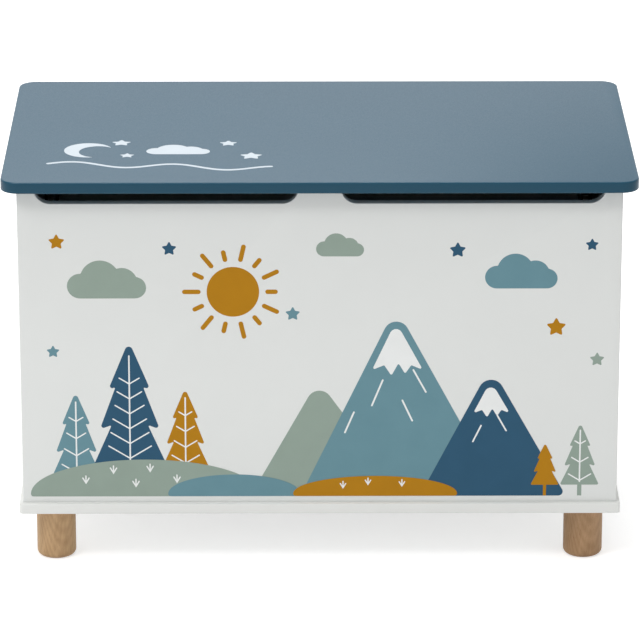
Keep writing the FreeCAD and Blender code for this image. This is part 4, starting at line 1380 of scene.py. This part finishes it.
@dataclass
class Stays(Assembly):
    """Two friction lid stays: plate, drum, spindle, arm, link and lid bracket."""

    screw: Screw = Screw(2.9, 1.3, 1.5, 9)
    spindle: Rivet = Rivet(3.0, 4.4, 1.4, 19.2, far_head=False)
    elbow: Rivet = Rivet(2.5, 4.2, 1.4, 9.6)
    bracket_pin: Rivet = Rivet(2.5, 4.2, 1.4, 8.6)
    flutes: tuple[int, float] = (24, 0.5)
    drum_profile: tuple[Point, ...] = (
        (6.2, -0.8), (6.8, -0.8), (7.6, 0), (13, 0), (15.5, 0), (16.6, -0.45), (17, -1.5),
        (17, -3.0), (17, -9.8), (17, -11), (16.4, -11.6), (14, -12))
    plate_screw_rise: float = 24
    bracket_screw_x: float = 296.5
    bracket_screw_offset: float = 14

    def pair(self, name: str, surface: Surface, material: bpy.types.Material, body: str,
             slot: str, node: str) -> None:
        """Make a right-hand piece and its mirror image on the left.

        Args:
            name: The pieces' name without the side.
            surface: The right-hand mesh.
            material: Their finish.
            body: The body they ride on, without the side where each has its own.
            slot: The record's material slot.
            node: The solids that they stand for, without the side.
        """
        for side, shape in (("right", surface), ("left", mirror(surface))):
            place = body if body in ("carcass", "lid") else f"{body}_{side}"
            self.piece(f"{name}_{side}", shape, material, place, slot, f"{node}_{side}")

    def crown(self, node: str) -> tuple[float, float, float]:
        """Return the inner end of a right-hand turned piece's axis, which runs along X."""
        _, y, z = centre(node)
        return span(node)[0][0], y, z

    def screws(self) -> None:
        """Make the screws of the plates, which look inwards, and of the lid brackets."""
        inner, y, z = self.crown("stay_plate_right")
        rise, offset = self.plate_screw_rise, self.bracket_screw_offset
        plate = [self.screw.surface(facing, (side * inner, y, z + up))
                 for side, facing in ((1, Facing.LEFT), (-1, Facing.RIGHT))
                 for up in (-rise, rise)]
        self.piece("stay_screws_side", gather(plate), self.finishes.zinc, "carcass",
                   "zinc_steel", "stay_plate_screws")
        lower, y = span("stay_bracket_screws")[0][2], centre("stay_bracket_screws")[1]
        bracket = [self.screw.surface(Facing.UNDER, (x, y + along, lower))
                   for x in (-self.bracket_screw_x, self.bracket_screw_x)
                   for along in (-offset, offset)]
        self.piece("stay_screws_lid", gather(bracket), self.finishes.zinc, "lid", "zinc_steel",
                   "stay_bracket_screws")

    def build(self) -> None:
        """Build drums, pins and screws and dress the pressed bars and plates.

        A drum has a fluted rim and a shallow dish round its spindle.
        """
        dress(self.finishes.powder, pairs("stay_plate", "stay_arm", "stay_link",
                                          "stay_bracket"))
        drum = turned(np.array(self.drum_profile), Facing.LEFT, self.crown("stay_drum_right"),
                      segments=144, flutes=self.flutes)
        self.pair("stay_drum_body", drum, self.finishes.nylon, "carcass", "black_plastic",
                  "stay_drum")
        for name, pin, body, node in (
                ("stay_spindle_pin", self.spindle, "carcass", "stay_spindle"),
                ("stay_elbow_pin", self.elbow, "stay_arm", "stay_elbow_rivet"),
                ("stay_lid_pin", self.bracket_pin, "lid", "stay_bracket_pin")):
            surface = pin.surface(Facing.LEFT, self.crown(f"{node}_right"))
            self.pair(name, surface, self.finishes.zinc, body, "zinc_steel", node)
        self.screws()


# The studio


@dataclass
class Studio(Assembly):
    """White floor, soft light and the camera."""

    camera_place: Place = (-23, -4900, 1926)
    camera_aim: Place = (1.1, 0, 226.8)
    lens: float = 253.72
    sensor: float = 36
    farthest: float = 100000
    softboxes: tuple[tuple[str, Place, Place, Point, float], ...] = (
        ("key_softbox", (-2386, -2660, 4060), (0, -190, 430), (1300, 1300), 71),
        ("top_softbox", (-200, 250, 3000), (0, 100, 450), (2000, 1000), 54),
        ("rear_softbox", (-600, 3200, 2400), (-100, 0, 450), (2200, 1200), 14))
    ambient: float = 0.57
    floor_glow: float = 0.58
    floor_tone: float = 0.75
    floor_half: float = 15000
    tooth_mm: float = 4
    tooth_height_mm: float = 0.02

    def hang(self, name: str, data: bpy.types.ID, place: Place, aim: Place) -> bpy.types.Object:
        """Place a camera or a lamp and point it.

        Args:
            name: Its name.
            data: The camera or the light.
            place: Where it is.
            aim: What it looks at.

        Returns:
            The new object.
        """
        thing = bpy.data.objects.new(name, data)
        thing.location = Vector(place) * MM
        way = (Vector(aim) - Vector(place)).normalized()
        thing.rotation_euler = way.to_track_quat("-Z", "Y").to_euler()
        bpy.context.scene.collection.objects.link(thing)
        return thing

    def camera(self) -> None:
        """Place the camera at the photograph's angle and distance."""
        data = bpy.data.cameras.new("camera")
        data.lens = self.lens
        data.sensor_width = self.sensor
        data.clip_end = self.farthest * MM
        bpy.context.scene.camera = self.hang("camera", data, self.camera_place, self.camera_aim)

    def lamp(self, name: str, place: Place, aim: Place, size: Point, power: float) -> None:
        """Hang one softbox.

        Args:
            name: Its name.
            place: Where it is.
            aim: What it faces.
            size: Its width and height.
            power: Its power in watts.
        """
        data = bpy.data.lights.new(name, "AREA")
        data.shape = "RECTANGLE"
        data.size, data.size_y = size[0] * MM, size[1] * MM
        data.energy = power
        self.hang(name, data, place, aim).visible_camera = False

    def seen(self, owner: Owner) -> bpy.types.Node:
        """Add nodes that give 1 to camera, glossy and transmission rays and 0 to the rest.

        Args:
            owner: The material or world.

        Returns:
            The last node.
        """
        path = add_node(owner, "LightPath").outputs
        first = add_node(owner, "Math", {0: path["Is Camera Ray"], 1: path["Is Glossy Ray"]},
                         operation="MAXIMUM")
        return add_node(owner, "Math", {0: first, 1: path["Is Transmission Ray"]},
                        operation="MAXIMUM")

    def world(self) -> None:
        """Fill the room with even grey light; camera, metal and glass see it white."""
        world = emptied(bpy.data.worlds.new("studio"))
        bpy.context.scene.world = world
        colour = add_node(world, "Mix", {
            0: self.seen(world), 6: (*[self.ambient] * 3, 1), 7: (1, 1, 1, 1)},
            data_type="RGBA")
        light = add_node(world, "Background", {"Color": colour})
        add_node(world, "OutputWorld", {"Surface": light})

    def paper(self) -> bpy.types.Material:
        """Make the floor's paper: matt white, with a tooth drawn coarser than the real one.

        Returns:
            The material.
        """
        made = emptied(bpy.data.materials.new("studio_paper_white"))
        place = add_node(made, "TexCoord").outputs["Object"]
        tooth = add_node(made, "TexNoise", {
            "Vector": place, "Scale": per_metre(self.tooth_mm), "Detail": 2.0})
        bump = add_node(made, "Bump", {
            "Strength": 0.3, "Distance": self.tooth_height_mm * MM, "Height": tooth})
        seen = self.seen(made)
        tone = add_node(made, "Mix", {
            0: seen, 6: to_linear("#f4f4f4"), 7: (*[self.floor_tone] * 3, 1)},
            data_type="RGBA")
        matt = add_node(made, "BsdfDiffuse", {"Color": tone, "Normal": bump})
        share = add_node(made, "Math", {0: seen, 1: self.floor_glow}, operation="MULTIPLY")
        glow = add_node(made, "Emission", {"Color": (1, 1, 1, 1), "Strength": share})
        both = add_node(made, "AddShader", {0: matt, 1: glow})
        add_node(made, "OutputMaterial", {"Surface": both})
        return made

    def floor(self) -> None:
        """Lay a plain white floor that keeps the shadow under the chest."""
        corners = box_outline(-1, 1, -1, 1) * self.floor_half * MM
        mesh = bpy.data.meshes.new("studio_floor")
        mesh.from_pydata(np.pad(corners, ((0, 0), (0, 1))).tolist(), [], [(0, 1, 2, 3)])
        mesh.materials.append(self.paper())
        sheet = bpy.data.objects.new("studio_floor", mesh)
        bpy.context.scene.collection.objects.link(sheet)
        self.made.append(sheet)

    def build(self) -> None:
        """Set up camera, world, lamps and floor."""
        self.camera()
        self.world()
        for softbox in self.softboxes:
            self.lamp(*softbox)
        bpy.context.scene.view_settings.view_transform = "Standard"
        self.floor()


def main() -> None:
    """Build the chest piece by piece, then the studio, and log each piece's faces."""
    logging.basicConfig(level=logging.INFO, format="%(name)s: %(message)s")
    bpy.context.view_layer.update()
    finishes = Finishes()
    for kind in (Carcass, Feet, FrontPrint, Fastenings, Hinges, Stays, Lid, Studio):
        assembly = kind(finishes)
        assembly.build()
        for piece in assembly.made:
            LOG.info("%s: %d faces", piece.name, len(piece.data.polygons))


if __name__ == "__main__":
    main()
